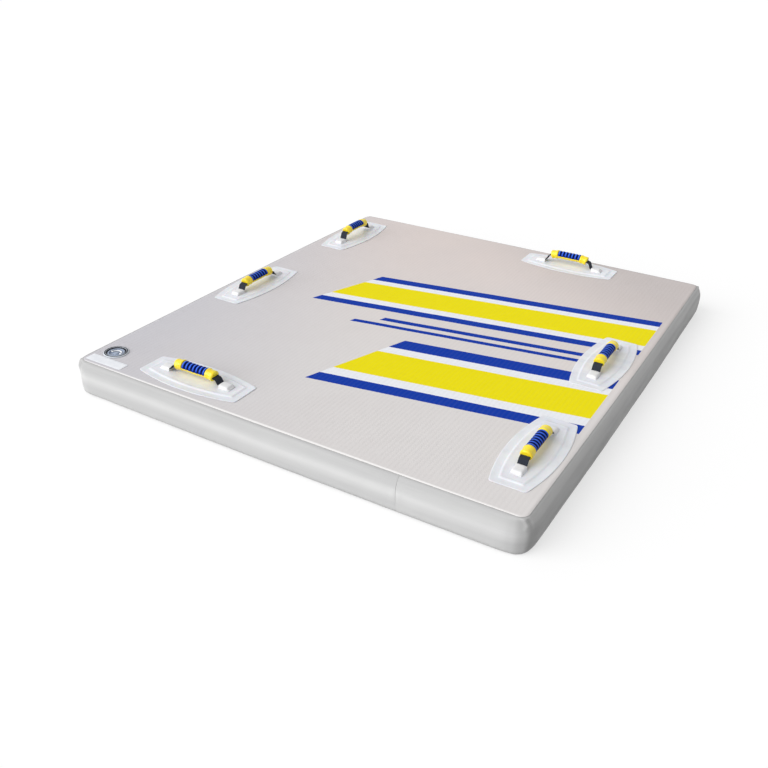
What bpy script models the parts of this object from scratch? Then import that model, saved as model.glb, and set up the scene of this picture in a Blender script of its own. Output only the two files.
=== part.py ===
"""Inflatable swim platform: a drop-stitch air deck with six moulded grab handles and a twist-lock valve.

Metres, +Z up. The origin is on the underside, in the middle of the platform. X runs across the deck,
Y along it, and the inflation valve stands in the corner at -X, -Y. Every piece is its own closed solid.
"""
import math

import bmesh
import bpy
import numpy as np
from mathutils import Matrix, Vector

# Clearance between touching pieces, and how far every cutter overruns what it cuts
GAP = 0.0003
OVERRUN = 0.002

# Air platform, measured on the seam line round the deck
DECK_WIDTH = 1.330
DECK_LENGTH = 1.525
PLATFORM_THICKNESS = 0.102
CORNER_RADIUS = 0.022
EDGE_BOW = 0.004
WALL_BULGE = 0.020
WALL_POWER = 2.5
CORNER_TUCK_SHARE = 0.4
SKIN_THICKNESS = 0.0012
BAND_THICKNESS = 0.0010
BAND_LAP = 0.018
PAD_RIM_THICKNESS = 0.0018
PAD_EDGE_BEVEL = 0.0008

# The side band is two lengths, butted over a backing tape at the front and at the rear
FRONT_JOINT_X = 0.362
REAR_JOINT_X = -0.130
TAPE_WIDTH = 0.050
TAPE_THICKNESS = 0.0008

# Spacer yarns, drawn as bundles at a wide pitch between two base fabrics
FABRIC_THICKNESS = 0.0006
FABRIC_SETBACK = 0.004
YARN_BUNDLE = 0.006
YARN_COLUMNS = 4
YARN_ROWS = 5
YARN_MARGIN = 0.150

# Bare white rectangle beside the valve
LABEL_LENGTH = 0.130
LABEL_WIDTH = 0.034
LABEL_THICKNESS = 0.0006
LABEL_SIDE_SETBACK = 0.011
LABEL_FRONT_SETBACK = 0.010

# Handle patch: a flange with a raised plateau inside it
PATCH_LENGTH = 0.332
PATCH_WIDTH = 0.139
PATCH_END_WIDTH = 0.091
PATCH_CORNER = 0.010
PATCH_FLANGE = 0.0014
PATCH_EDGE_CHAMFER = 0.0007
PATCH_BORDER = 0.0215
PATCH_STEP_RUN = 0.0020
PATCH_STEP_RISE = 0.0016

# Keepers hold the strap's ends down on the plateau
KEEPER_LENGTH = 0.034
KEEPER_WIDTH = 0.031
KEEPER_HEIGHT = 0.0100
KEEPER_SLOPE = 0.007
KEEPER_SIDE_DRAFT = 0.0022
KEEPER_ROUNDING = 0.0012
MOUTH_HEIGHT = 0.0068

# Webbing strap, an arch between the two mouths
STRAP_SPAN = 0.171
STRAP_WIDTH = 0.025
STRAP_THICKNESS = 0.0022
STRAP_LEG_RUN = 0.0125
STRAP_LEG_SHARE = 0.72
STRAP_SLOPE_DEG = 20.0
ARCH_PULL_SHARES = (0.47, 0.33)
STRAP_STATIONS = 7

# Moulded grip on the strap, and the ribbed insert on top of it
GRIP_LENGTH = 0.131
GRIP_WIDTH = 0.0315
GRIP_HEIGHT = 0.0290
GRIP_COLLAR = 0.0250
GRIP_END_ROUNDING = 0.0022
WAIST_DRAW = 0.0012
RECESS_DEPTH = 0.0034
RECESS_EDGE_DEG = 20.0
WAIST_STEP = 0.0006
INSERT_RIBS = 7
RIB_HEIGHT = 0.0012
SLOT_CLEARANCE = 0.0004

# Inflation valve, clamped through the top skin
VALVE_SIDE_SETBACK = 0.056
VALVE_FRONT_SETBACK = 0.081
RING_RADIUS = 0.0355
RING_HEIGHT = 0.0030
RING_CHAMFER = 0.0018
NECK_RADIUS = 0.0285
NECK_BORE = 0.0255
NECK_SINK = 0.0010
NECK_CHAMFER = 0.0012
WELL_RADIUS = 0.0245
WELL_BORE = 0.0215
WELL_DEPTH = 0.0362
WELL_FLOOR = 0.0030
AIRWAY_RADIUS = 0.0150
CLAMP_FLANGE_RADIUS = 0.0345
CLAMP_FLANGE_THICKNESS = 0.0030
GASKET_THICKNESS = 0.0012
HUB_RADIUS = 0.0055
SPOKE_WIDTH = 0.0026
SPOKE_DEPTH_SHARE = 0.8
SPOKES = 3
STEM_RADIUS = 0.0024
STEM_CLEARANCE = 0.0004
BUTTON_RADIUS = 0.0070
BUTTON_THICKNESS = 0.0020
BUTTON_TOP_SHARE = 0.8
POPPET_RADIUS = 0.0195
POPPET_THICKNESS = 0.0022
WASHER_THICKNESS = 0.0016
SPRING_RADIUS = 0.0043
SPRING_WIRE = 0.0008
SPRING_LENGTH = 0.0130
SPRING_TURNS = 4.5
SPRING_CURL_POINTS = 8

# Twist cap with its seal and its fold-down finger bail
CAP_RADIUS = 0.0246
CAP_DEPTH = 0.0120
CAP_WALL = 0.0030
CAP_TOP_CHAMFER = 0.0016
CAP_RIM_WIDTH = 0.0032
DISH_DEPTH = 0.0046
DISH_FLOOR_THICKNESS = 0.0022
BOSS_RADIUS = 0.0080
BOSS_HEIGHT = 0.0036
BOSS_SHARES = ((0.75, 0.88), (1.0, 0.5), (1.06, 0.0))
RIM_LEAN_SHARE = 0.2
CAP_SEAL_THICKNESS = 0.0014
BAIL_RADIUS = 0.0138
BAIL_WIRE = 0.0013
BAIL_EYE_RADIUS = 0.0018
BAIL_PIN_RADIUS = 0.0009
BAIL_PIN_REACH = 0.0014
PIN_CLEARANCE = 0.0003

# Counts that set how fine the facets are
CORNER_STEPS = 5
EDGE_STEPS = 4
WALL_STEPS = 8
VALVE_SEGMENTS = 24
SMALL_SEGMENTS = 12
PATCH_SIDE_STEPS = 5
PATCH_CORNER_STEPS = 2
BAIL_POINTS = 9
OVAL_TOP_POINTS = 6
OVAL_UNDER_POINTS = 6
ARCH_FINENESS = 72

# Heights that follow from the sizes above
LAP_TOP = PLATFORM_THICKNESS - PAD_RIM_THICKNESS - GAP
SKIN_TOP = LAP_TOP - BAND_THICKNESS - GAP
SKIN_UNDERSIDE = SKIN_TOP - SKIN_THICKNESS
FLOOR_SKIN_LOW = BAND_THICKNESS + GAP
PAD_LOW = SKIN_TOP + GAP
PLATEAU_HEIGHT = PATCH_FLANGE + PATCH_STEP_RISE
PATCH_LOW = PLATFORM_THICKNESS + GAP
KEEPER_LOW = PATCH_LOW + PLATEAU_HEIGHT + GAP
MOUTH_LEVEL = KEEPER_LOW + MOUTH_HEIGHT
RING_LOW = PLATFORM_THICKNESS + GAP
RING_TOP = RING_LOW + RING_HEIGHT
NECK_TOP = RING_TOP - NECK_SINK
GASKET_TOP = SKIN_UNDERSIDE - GAP
CLAMP_TOP = GASKET_TOP - GASKET_THICKNESS - GAP
WELL_LOW = NECK_TOP - WELL_DEPTH
CAP_SEAL_LOW = NECK_TOP - CAP_DEPTH - NECK_CHAMFER - CAP_SEAL_THICKNESS
CAP_LOW = CAP_SEAL_LOW + CAP_SEAL_THICKNESS + GAP
CAP_TOP = CAP_LOW + CAP_DEPTH
DISH_LEVEL = CAP_TOP - DISH_DEPTH
BAIL_LEVEL = DISH_LEVEL + BAIL_EYE_RADIUS + GAP
DISH_RADIUS = CAP_RADIUS - CAP_TOP_CHAMFER - CAP_RIM_WIDTH

VALVE_CENTRE = (VALVE_SIDE_SETBACK - DECK_WIDTH / 2, VALVE_FRONT_SETBACK - DECK_LENGTH / 2)

# Handles: name, the side of the deck it lies along (0 front, 1 right, 2 rear, 3 left), then three shares:
# how far along that side from its middle over half its length, the patch's setback from the seam over
# its width, and the height of the arch's middle above the mouths over the strap's span
HANDLE_SHARES = (
    ("front", 0, -0.477, 0.136691, 0.096491),
    ("right_front", 1, -0.673, 0.079137, 0.093567),
    ("right_middle", 1, 0.026, 0.122302, 0.122807),
    ("rear", 2, -0.343, 0.079137, 0.152047),
    ("left_middle", 3, 0.091, 0.050360, 0.114035),
    ("left_rear", 3, -0.688, 0.107914, 0.169591),
)

# Colour, roughness and metallic value of each material
FINISHES = {
    "deck_pvc": ((0.72, 0.70, 0.69), 0.55, 0.0),
    "wall_pvc": ((0.68, 0.68, 0.68), 0.35, 0.0),
    "skin_pvc": ((0.66, 0.66, 0.66), 0.45, 0.0),
    "yarn": ((0.85, 0.84, 0.80), 0.80, 0.0),
    "label_white": ((0.88, 0.90, 0.92), 0.35, 0.0),
    "patch_pvc": ((0.80, 0.80, 0.83), 0.25, 0.0),
    "keeper_white": ((0.90, 0.90, 0.90), 0.40, 0.0),
    "webbing_black": ((0.03, 0.035, 0.04), 0.75, 0.0),
    "grip_yellow": ((0.95, 0.74, 0.02), 0.40, 0.0),
    "insert_blue": ((0.02, 0.06, 0.55), 0.45, 0.0),
    "valve_grey": ((0.50, 0.54, 0.58), 0.30, 0.0),
    "cap_grey": ((0.36, 0.41, 0.47), 0.30, 0.0),
    "rubber_black": ((0.03, 0.03, 0.03), 0.70, 0.0),
    "spring_steel": ((0.70, 0.70, 0.72), 0.25, 1.0),
}


def clear_scene():
    for old in list(bpy.data.objects):
        bpy.data.objects.remove(old, do_unlink=True)


def collection(name):
    made = bpy.data.collections.new(name)
    bpy.context.scene.collection.children.link(made)
    return made


def material(name):
    found = bpy.data.materials.get(name)
    if found:
        return found
    colour, roughness, metallic = FINISHES[name]
    made = bpy.data.materials.new(name)
    made.use_nodes = True
    shader = made.node_tree.nodes["Principled BSDF"]
    shader.inputs["Base Color"].default_value = (*colour, 1.0)
    shader.inputs["Roughness"].default_value = roughness
    shader.inputs["Metallic"].default_value = metallic
    made.diffuse_color = (*colour, 1.0)
    return made


def add_object(name, data, finish=None):
    """An object in the parts' collection, or in the cutters' if it has no finish."""
    made = bpy.data.objects.new(name, data)
    if finish:
        bpy.data.collections["swim_platform"].objects.link(made)
        data.materials.append(material(finish))
    else:
        bpy.data.collections["cutters"].objects.link(made)
        made.hide_render = True
        made.display_type = "WIRE"
    return made


def object_from(name, bm, finish=None, sharp_deg=35.0):
    """A smooth-shaded object from a bmesh, its loose ends merged and its faces turned outwards."""
    bmesh.ops.remove_doubles(bm, verts=bm.verts, dist=GAP / 100)
    bmesh.ops.recalc_face_normals(bm, faces=bm.faces)
    mesh = bpy.data.meshes.new(name)
    bm.to_mesh(mesh)
    bm.free()
    mesh.shade_smooth()
    mesh.set_sharp_from_angle(angle=math.radians(sharp_deg))
    return add_object(name, mesh, finish)


def boolean(target, other, operation="DIFFERENCE"):
    step = target.modifiers.new(other.name, "BOOLEAN")
    step.object = other
    step.operation = operation
    step.solver = "EXACT"


# Outlines on the deck


def deck_sides(inset=0.0):
    """Each side's outward direction, its anticlockwise direction, its distance and half its straight run."""
    half_x, half_y = DECK_WIDTH / 2 - inset, DECK_LENGTH / 2 - inset
    radius = max(CORNER_RADIUS - inset, GAP)
    sides = []
    for turn in range(4):
        angle = math.radians(90 * turn - 90)
        out = np.array([round(math.cos(angle)), round(math.sin(angle))], float)
        along = np.array([-out[1], out[0]])
        far, run = (half_x, half_y - radius) if turn % 2 else (half_y, half_x - radius)
        sides.append((out, along, far, run))
    return sides, radius


def seam_path(first, last, inset=0.0):
    """Points and outward normals from one place on the seam anticlockwise to another.

    A place is a side's number and the distance from that side's middle; side 4 is the front again. Every
    path has the same facets, wherever it starts and stops, so that what lies side by side keeps its gap.
    """
    sides, radius = deck_sides(inset)
    points, normals = [], []
    for number in range(first[0], last[0] + 1):
        out, along, far, run = sides[number % 4]
        start = first[1] if number == first[0] else -run
        stop = last[1] if number == last[0] else run
        stations = np.linspace(-run, run, EDGE_STEPS + 1)
        bows = EDGE_BOW * (1 - (stations / run) ** 2)
        between = stations[(stations > start + GAP) & (stations < stop - GAP)]
        for place in (start, *between, stop):
            points.append(out * (far + np.interp(place, stations, bows)) + along * place)
            normals.append(out)
        if number < last[0]:
            centre = out * (far - radius) + along * run
            for step in range(1, CORNER_STEPS):
                turn = math.radians(90 * step / CORNER_STEPS)
                spoke = out * math.cos(turn) + along * math.sin(turn)
                points.append(centre + spoke * radius)
                normals.append(spoke)
    return np.array(points), np.array(normals)


def seam_loop(inset=0.0):
    """The whole seam line as a closed loop of points."""
    sides, radius = deck_sides(inset)
    points, _ = seam_path((0, -sides[0][3]), (3, sides[3][3]), inset)
    out, along, far, run = sides[3]
    centre = out * (far - radius) + along * run
    corner = []
    for step in range(1, CORNER_STEPS):
        turn = math.radians(90 * step / CORNER_STEPS)
        corner.append(centre + (out * math.cos(turn) + along * math.sin(turn)) * radius)
    return np.vstack([points, corner])


def circle(radius, centre=(0.0, 0.0), segments=VALVE_SEGMENTS):
    turn = np.linspace(0, 2 * math.pi, segments, endpoint=False)
    return np.stack([centre[0] + radius * np.cos(turn), centre[1] + radius * np.sin(turn)], -1)


def plate(name, outlines, low, thickness, finish=None):
    """A flat sheet from a filled curve. The first outline is its edge, and the others are holes."""
    curve = bpy.data.curves.new(name, "CURVE")
    curve.dimensions = "2D"
    curve.fill_mode = "BOTH"
    curve.extrude = thickness / 2
    for outline in outlines:
        spline = curve.splines.new("POLY")
        spline.points.add(len(outline) - 1)
        for point, (x, y) in zip(spline.points, outline):
            point.co = (x, y, 0.0, 1.0)
        spline.use_cyclic_u = True
    flat = bpy.data.objects.new(name, curve)
    flat.location.z = low + thickness / 2
    bpy.context.scene.collection.objects.link(flat)
    bpy.context.view_layer.update()
    evaluated = flat.evaluated_get(bpy.context.evaluated_depsgraph_get())
    mesh = bpy.data.meshes.new_from_object(evaluated)
    place = flat.matrix_world.copy()
    bpy.data.objects.remove(flat)
    bm = bmesh.new()
    bm.from_mesh(mesh)
    bpy.data.meshes.remove(mesh)
    made = object_from(name, bm, finish)
    made.matrix_world = place
    return made


# Air platform


def wall_section():
    """The side band's outer line from the top lap round the bulged wall to the bottom lap."""
    half = LAP_TOP / 2
    line = [(-BAND_LAP, LAP_TOP)]
    for turn in np.linspace(math.pi / 2, -math.pi / 2, WALL_STEPS + 1):
        out = WALL_BULGE * max(math.cos(turn), 0.0) ** (2 / WALL_POWER)
        rise = half * math.copysign(abs(math.sin(turn)) ** (2 / WALL_POWER), math.sin(turn))
        line.append((out, half + rise))
    line.append((-BAND_LAP, 0.0))
    return line


def shell_along(name, path, section, thickness, finish):
    """A sheet that carries a section line along a path on the seam, given its wall inwards.

    At a corner the bulge is tucked in, most at its middle, where the normal lies at 45 degrees.
    """
    points, normals = path
    bm = bmesh.new()
    rows = []
    for point, normal in zip(points, normals):
        row = []
        tuck = CORNER_TUCK_SHARE * 2 * abs(normal[0] * normal[1])
        for out, height in section:
            x, y = point + normal * (out - max(out, 0.0) * tuck)
            row.append(bm.verts.new((x, y, height)))
        rows.append(row)
    for near, far in zip(rows, rows[1:]):
        for index in range(len(section) - 1):
            bm.faces.new((near[index], near[index + 1], far[index + 1], far[index]))
    mesh = bpy.data.meshes.new(name)
    bm.to_mesh(mesh)
    bm.free()
    mesh.shade_smooth()
    made = add_object(name, mesh, finish)
    wall = made.modifiers.new("wall", "SOLIDIFY")
    wall.thickness = thickness
    wall.offset = -1.0
    wall.use_even_offset = True
    return made


def side_bands():
    """Two lengths of band, each lapped over and under the skins, and butted at two joints."""
    half = GAP / 2
    section = wall_section()
    right = seam_path((0, FRONT_JOINT_X + half), (2, -REAR_JOINT_X - half))
    left = seam_path((2, -REAR_JOINT_X + half), (4, FRONT_JOINT_X - half))
    shell_along("side_band_right", right, section, BAND_THICKNESS, "wall_pvc")
    shell_along("side_band_left", left, section, BAND_THICKNESS, "wall_pvc")


def backing_tapes():
    """A tape inside the wall behind each butt joint of the band, parallel to the wall's facets."""
    section = wall_section()[2:-2]
    spread = TAPE_WIDTH / 2
    places = (("seam_tape_front", 0, FRONT_JOINT_X), ("seam_tape_rear", 2, -REAR_JOINT_X))
    for name, side, joint in places:
        path = seam_path((side, joint - spread), (side, joint + spread))
        tape = shell_along(name, path, section, TAPE_THICKNESS, "skin_pvc")
        inside = BAND_THICKNESS + GAP
        tape.modifiers["wall"].offset = -1.0 - 2.0 * inside / TAPE_THICKNESS


def skins():
    """The coated skins inside the laps, the top one with the valve's hole."""
    edge = seam_loop(GAP + BAND_THICKNESS)
    hole = circle(NECK_RADIUS + GAP, VALVE_CENTRE)
    plate("top_skin", [edge, hole], SKIN_UNDERSIDE, SKIN_THICKNESS, "skin_pvc")
    plate("bottom_skin", [edge], FLOOR_SKIN_LOW, SKIN_THICKNESS, "skin_pvc")


def deck_pad():
    """The textured deck sheet, thicker inside the lap so that it beds on both lap and skin."""
    hole = circle(NECK_RADIUS + GAP, VALVE_CENTRE)
    rim_low = PLATFORM_THICKNESS - PAD_RIM_THICKNESS
    pad = plate("deck_pad", [seam_loop(), hole], rim_low, PAD_RIM_THICKNESS, "deck_pvc")
    inner = seam_loop(BAND_LAP + GAP)
    bed = plate("deck_bed_tool", [inner, hole], PAD_LOW, rim_low - PAD_LOW + PAD_RIM_THICKNESS / 2)
    boolean(pad, bed, "UNION")
    chamfer = pad.modifiers.new("edge", "BEVEL")
    chamfer.width = PAD_EDGE_BEVEL
    chamfer.segments = 1
    chamfer.limit_method = "ANGLE"
    chamfer.angle_limit = math.radians(60)


def spacer_core():
    """Two base fabrics held at one distance by bundles of yarn, with room left round the valve."""
    low = FLOOR_SKIN_LOW + SKIN_THICKNESS + GAP
    high = SKIN_UNDERSIDE - GAP
    edge = seam_loop(FABRIC_SETBACK)
    hole = circle(CLAMP_FLANGE_RADIUS + YARN_BUNDLE / 2, VALVE_CENTRE)
    core = plate("spacer_yarn_core", [edge], low, FABRIC_THICKNESS, "yarn")
    top = plate("base_fabric_tool", [edge, hole], high - FABRIC_THICKNESS, FABRIC_THICKNESS)
    bm = bmesh.new()
    reach_x = DECK_WIDTH / 2 - YARN_MARGIN
    reach_y = DECK_LENGTH / 2 - YARN_MARGIN
    keep_out = CLAMP_FLANGE_RADIUS + YARN_BUNDLE * 2
    height = high - low - FABRIC_THICKNESS
    for x in np.linspace(-reach_x, reach_x, YARN_COLUMNS):
        for y in np.linspace(-reach_y, reach_y, YARN_ROWS):
            if math.dist((x, y), VALVE_CENTRE) < keep_out:
                continue
            place = Matrix.Translation((x, y, (low + high) / 2))
            size = Matrix.Diagonal((YARN_BUNDLE, YARN_BUNDLE, height, 1.0))
            bmesh.ops.create_cube(bm, size=1.0, matrix=place @ size)
    yarns = object_from("yarn_bundle_tool", bm)
    boolean(core, yarns, "UNION")
    boolean(core, top, "UNION")


def label_patch():
    """The bare white rectangle welded on the deck between the valve and the front edge."""
    left = LABEL_SIDE_SETBACK - DECK_WIDTH / 2
    front = LABEL_FRONT_SETBACK - DECK_LENGTH / 2
    corners = [(left, front), (left + LABEL_LENGTH, front),
               (left + LABEL_LENGTH, front + LABEL_WIDTH), (left, front + LABEL_WIDTH)]
    plate("white_label_patch", [np.array(corners)], PLATFORM_THICKNESS + GAP, LABEL_THICKNESS, "label_white")


# Handles, each built along its own X with its middle at the origin and Z from the platform's base


def handle_place(side, along_share, setback_share):
    """The matrix that puts a handle's own frame on its side of the deck."""
    sides, radius = deck_sides()
    out, along, far, run = sides[side]
    setback = PATCH_WIDTH * setback_share
    middle = out * (far - setback - PATCH_WIDTH / 2) + along * along_share * (run + radius)
    turn = math.atan2(along[1], along[0])
    return Matrix.Translation((middle[0], middle[1], 0.0)) @ Matrix.Rotation(turn, 4, "Z")


def patch_outline(inset):
    """A boat shape: two bowed sides, two straight ends and four round corners, all moved in by an inset."""
    full, end = PATCH_LENGTH / 2, PATCH_END_WIDTH / 2
    crown = PATCH_WIDTH / 2 - end
    half = full - inset
    end_here = end + crown * (1 - (half / full) ** 2) - inset
    lean = math.atan(2 * crown * half / full ** 2)
    middle_x = half - PATCH_CORNER
    middle_y = end_here + PATCH_CORNER * (math.tan(lean) - 1 / math.cos(lean))
    last = middle_x + PATCH_CORNER * math.sin(lean)
    quarter = []
    for x in np.linspace(0.0, last, PATCH_SIDE_STEPS, endpoint=False):
        quarter.append((x, end + crown * (1 - (x / full) ** 2) - inset))
    for turn in np.linspace(math.pi / 2 - lean, 0.0, PATCH_CORNER_STEPS + 1):
        quarter.append((middle_x + PATCH_CORNER * math.cos(turn), middle_y + PATCH_CORNER * math.sin(turn)))
    quarter = np.array(quarter)
    back = quarter[::-1][:-1]
    return np.vstack([quarter, back * (1, -1), (quarter * (-1, -1)), back * (-1, 1)])


def stepped_patch(name):
    """The patch's flange with a chamfered edge, raised in a step to the inner plateau.

    It is lofted through its outline at one inset after another, because the corners keep their radius.
    """
    flange = PATCH_LOW + PATCH_FLANGE
    border = PATCH_EDGE_CHAMFER + PATCH_BORDER
    levels = ((0.0, PATCH_LOW), (0.0, flange - PATCH_EDGE_CHAMFER), (PATCH_EDGE_CHAMFER, flange),
              (border, flange), (border + PATCH_STEP_RUN, flange + PATCH_STEP_RISE))
    bm = bmesh.new()
    rings = []
    for inset, height in levels:
        rings.append([bm.verts.new((x, y, height)) for x, y in patch_outline(inset)])
    for near, far in zip(rings, rings[1:]):
        for index in range(len(near)):
            after = (index + 1) % len(near)
            bm.faces.new((near[index], near[after], far[after], far[index]))
    bm.faces.new(rings[0][::-1])
    bm.faces.new(rings[-1])
    return object_from(name, bm, "patch_pvc")


def keeper(name, end):
    """A moulded block over one end of the webbing: upright at the mouth, drawn in and sloped elsewhere."""
    bm = bmesh.new()
    mouth = STRAP_SPAN / 2 + GAP
    middle = Vector((mouth + KEEPER_LENGTH / 2, 0.0, KEEPER_LOW + KEEPER_HEIGHT / 2))
    size = Matrix.Diagonal((KEEPER_LENGTH, KEEPER_WIDTH, KEEPER_HEIGHT, 1.0))
    bmesh.ops.create_cube(bm, size=1.0, matrix=Matrix.Translation(middle) @ size)
    for corner in bm.verts:
        if corner.co.z > middle.z:
            corner.co.y -= math.copysign(KEEPER_SIDE_DRAFT, corner.co.y)
            if corner.co.x > middle.x:
                corner.co.x -= KEEPER_SLOPE
    edges = [e for e in bm.edges if max(v.co.z for v in e.verts) > middle.z]
    bmesh.ops.bevel(bm, geom=edges, offset=KEEPER_ROUNDING, segments=2, affect="EDGES", profile=0.5)
    if end < 0:
        bmesh.ops.rotate(bm, verts=bm.verts, cent=(0.0, 0.0, 0.0), matrix=Matrix.Rotation(math.pi, 3, "Z"))
    return object_from(name, bm, "keeper_white")


def bezier(start, pull_start, pull_end, end, count):
    """Points on a cubic curve, its first one left out."""
    t = np.linspace(0.0, 1.0, count + 1)[1:, None]
    return ((1 - t) ** 3 * start + 3 * (1 - t) ** 2 * t * pull_start
            + 3 * (1 - t) * t ** 2 * pull_end + t ** 3 * end)


def arch_line(rise):
    """The strap's middle line in the handle's XZ plane, as fine points from the -X mouth to the +X one."""
    mouth = np.array([STRAP_SPAN / 2, MOUTH_LEVEL])
    shoulder = np.array([STRAP_SPAN / 2 - STRAP_LEG_RUN, MOUTH_LEVEL + rise * STRAP_LEG_SHARE])
    crown = np.array([0.0, MOUTH_LEVEL + rise])
    slope = np.array([math.cos(math.radians(STRAP_SLOPE_DEG)), -math.sin(math.radians(STRAP_SLOPE_DEG))])
    crown_pull, shoulder_pull = shoulder[0] * np.array(ARCH_PULL_SHARES)
    leg_pull = STRAP_LEG_RUN / 2
    top = bezier(crown, crown + (crown_pull, 0.0), shoulder - slope * shoulder_pull, shoulder, ARCH_FINENESS)
    leg = bezier(shoulder, shoulder + slope * leg_pull, mouth - (leg_pull, 0.0), mouth, ARCH_FINENESS)
    half = np.vstack([crown, top, leg])
    return np.vstack([(half * (-1, 1))[::-1][:-1], half])


def frames_on(line, places):
    """Points and up-pointing normals on a line at signed distances from its middle."""
    steps = np.linalg.norm(np.diff(line, axis=0), axis=1)
    along = np.concatenate([[0.0], np.cumsum(steps)])
    along -= along[-1] / 2
    places = np.asarray(places)
    x = np.interp(places, along, line[:, 0])
    z = np.interp(places, along, line[:, 1])
    tangent = np.gradient(line, axis=0)
    tangent /= np.linalg.norm(tangent, axis=1)[:, None]
    tx = np.interp(places, along, tangent[:, 0])
    tz = np.interp(places, along, tangent[:, 1])
    size = np.hypot(tx, tz)
    return np.stack([x, z], -1), np.stack([-tz / size, tx / size], -1), along[-1]


def sweep(name, line, places, sections, finish=None):
    """A closed solid through sections of (across, up) points set square to a line in the XZ plane."""
    centres, ups, _ = frames_on(line, places)
    bm = bmesh.new()
    rings = []
    for (x, z), (up_x, up_z), section in zip(centres, ups, sections):
        rings.append([bm.verts.new((x + up_x * up, across, z + up_z * up)) for across, up in section])
    for near, far in zip(rings, rings[1:]):
        for index in range(len(near)):
            after = (index + 1) % len(near)
            bm.faces.new((near[index], near[after], far[after], far[index]))
    bm.faces.new(rings[0][::-1])
    bm.faces.new(rings[-1])
    return object_from(name, bm, finish)


def strap(name, line):
    """The webbing between the two mouths, one unbroken flat strap."""
    reach = frames_on(line, [0.0])[2] - GAP
    bend = GRIP_LENGTH / 2
    places = np.concatenate([np.linspace(-reach, -bend, STRAP_STATIONS)[:-1],
                             np.linspace(-bend, bend, STRAP_STATIONS),
                             np.linspace(bend, reach, STRAP_STATIONS)[1:]])
    across, up = STRAP_WIDTH / 2, STRAP_THICKNESS / 2
    section = [(-across, -up), (across, -up), (across, up), (-across, up)]
    return sweep(name, line, places, [section] * len(places), "webbing_black")


def grip_section(draw, recess):
    """An oval drawn in all round by one depth, and over its top by another."""
    edge = math.radians(RECESS_EDGE_DEG)
    top = np.linspace(edge, math.pi - edge, OVAL_TOP_POINTS)
    under = np.linspace(math.pi - edge, 2 * math.pi + edge, OVAL_UNDER_POINTS)
    points = []
    for turns, depth in ((top, draw + recess), (under, draw)):
        across, up = GRIP_WIDTH / 2 - depth, GRIP_HEIGHT / 2 - depth
        points += [(across * math.cos(turn), up * math.sin(turn)) for turn in turns]
    return points


def grip(name, line):
    """The moulded sleeve: two collars, a drawn-in waist with a recess on top, and a slot for the strap."""
    end = GRIP_LENGTH / 2
    waist = end - GRIP_COLLAR
    half = [(end, GRIP_END_ROUNDING, 0.0), (end - GRIP_END_ROUNDING / 2, GRIP_END_ROUNDING / 4, 0.0),
            (end - GRIP_END_ROUNDING * 2, 0.0, 0.0), (waist + WAIST_STEP, 0.0, 0.0),
            (waist, WAIST_DRAW, RECESS_DEPTH), (waist * 2 / 3, WAIST_DRAW, RECESS_DEPTH),
            (waist / 3, WAIST_DRAW, RECESS_DEPTH)]
    stations = [(-place, draw, recess) for place, draw, recess in half]
    stations += [(0.0, WAIST_DRAW, RECESS_DEPTH)] + half[::-1]
    places = [place for place, _, _ in stations]
    sections = [grip_section(draw, recess) for _, draw, recess in stations]
    body = sweep(name, line, places, sections, "grip_yellow")
    across = STRAP_WIDTH / 2 + SLOT_CLEARANCE
    up = STRAP_THICKNESS / 2 + SLOT_CLEARANCE
    slot_section = [(-across, -up), (across, -up), (across, up), (-across, up)]
    slot_places = np.linspace(-end - OVERRUN, end + OVERRUN, STRAP_STATIONS)
    slot = sweep(name + "_slot_tool", line, slot_places, [slot_section] * STRAP_STATIONS)
    boolean(body, slot)
    return body, slot


def ribbed_insert(name, line):
    """The saddle that fills the grip's recess, its top waved into ribs."""
    reach = GRIP_LENGTH / 2 - GRIP_COLLAR - GAP * 2
    edge = math.radians(RECESS_EDGE_DEG) + GAP * 2 / (GRIP_WIDTH / 2)
    outer = np.linspace(edge, math.pi - edge, OVAL_TOP_POINTS)
    inner = outer[::-1]
    bed = WAIST_DRAW + RECESS_DEPTH - GAP
    sections = []
    count = 2 * INSERT_RIBS + 1
    for station in range(count):
        top = RIB_HEIGHT if station % 2 == 0 else 0.0
        if station in (0, count - 1):
            top = RIB_HEIGHT + WAIST_DRAW
        wide, tall = GRIP_WIDTH / 2 - top, GRIP_HEIGHT / 2 - top
        section = [(wide * math.cos(turn), tall * math.sin(turn)) for turn in outer]
        wide, tall = GRIP_WIDTH / 2 - bed, GRIP_HEIGHT / 2 - bed
        section += [(wide * math.cos(turn), tall * math.sin(turn)) for turn in inner]
        sections.append(section)
    return sweep(name, line, np.linspace(-reach, reach, count), sections, "insert_blue")


def build_handle(name, side, along_share, setback_share, rise_share):
    """One handle, its fixed pieces and its moving ones, put in its place on the deck.

    The strap, grip and insert hang on an empty that lies on the line through the two mouths.
    """
    place = handle_place(side, along_share, setback_share)
    line = arch_line(STRAP_SPAN * rise_share)
    sleeve, slot = grip(f"grip_{name}", line)
    moving = [strap(f"strap_{name}", line), sleeve, ribbed_insert(f"grip_insert_{name}", line)]
    fixed = [stepped_patch(f"handle_patch_{name}"), slot]
    fixed += [keeper(f"keeper_a_{name}", -1), keeper(f"keeper_b_{name}", 1)]
    for piece in fixed:
        piece.matrix_basis = place
    pivot = bpy.data.objects.new(f"pivot_{name}", None)
    bpy.data.collections["swim_platform"].objects.link(pivot)
    pivot.matrix_basis = place @ Matrix.Translation((0.0, 0.0, MOUTH_LEVEL))
    for piece in moving:
        piece.parent = pivot
        piece.matrix_parent_inverse = pivot.matrix_basis.inverted()
        piece.matrix_basis = place


# Valve, built round the Z axis and then moved to its place


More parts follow.
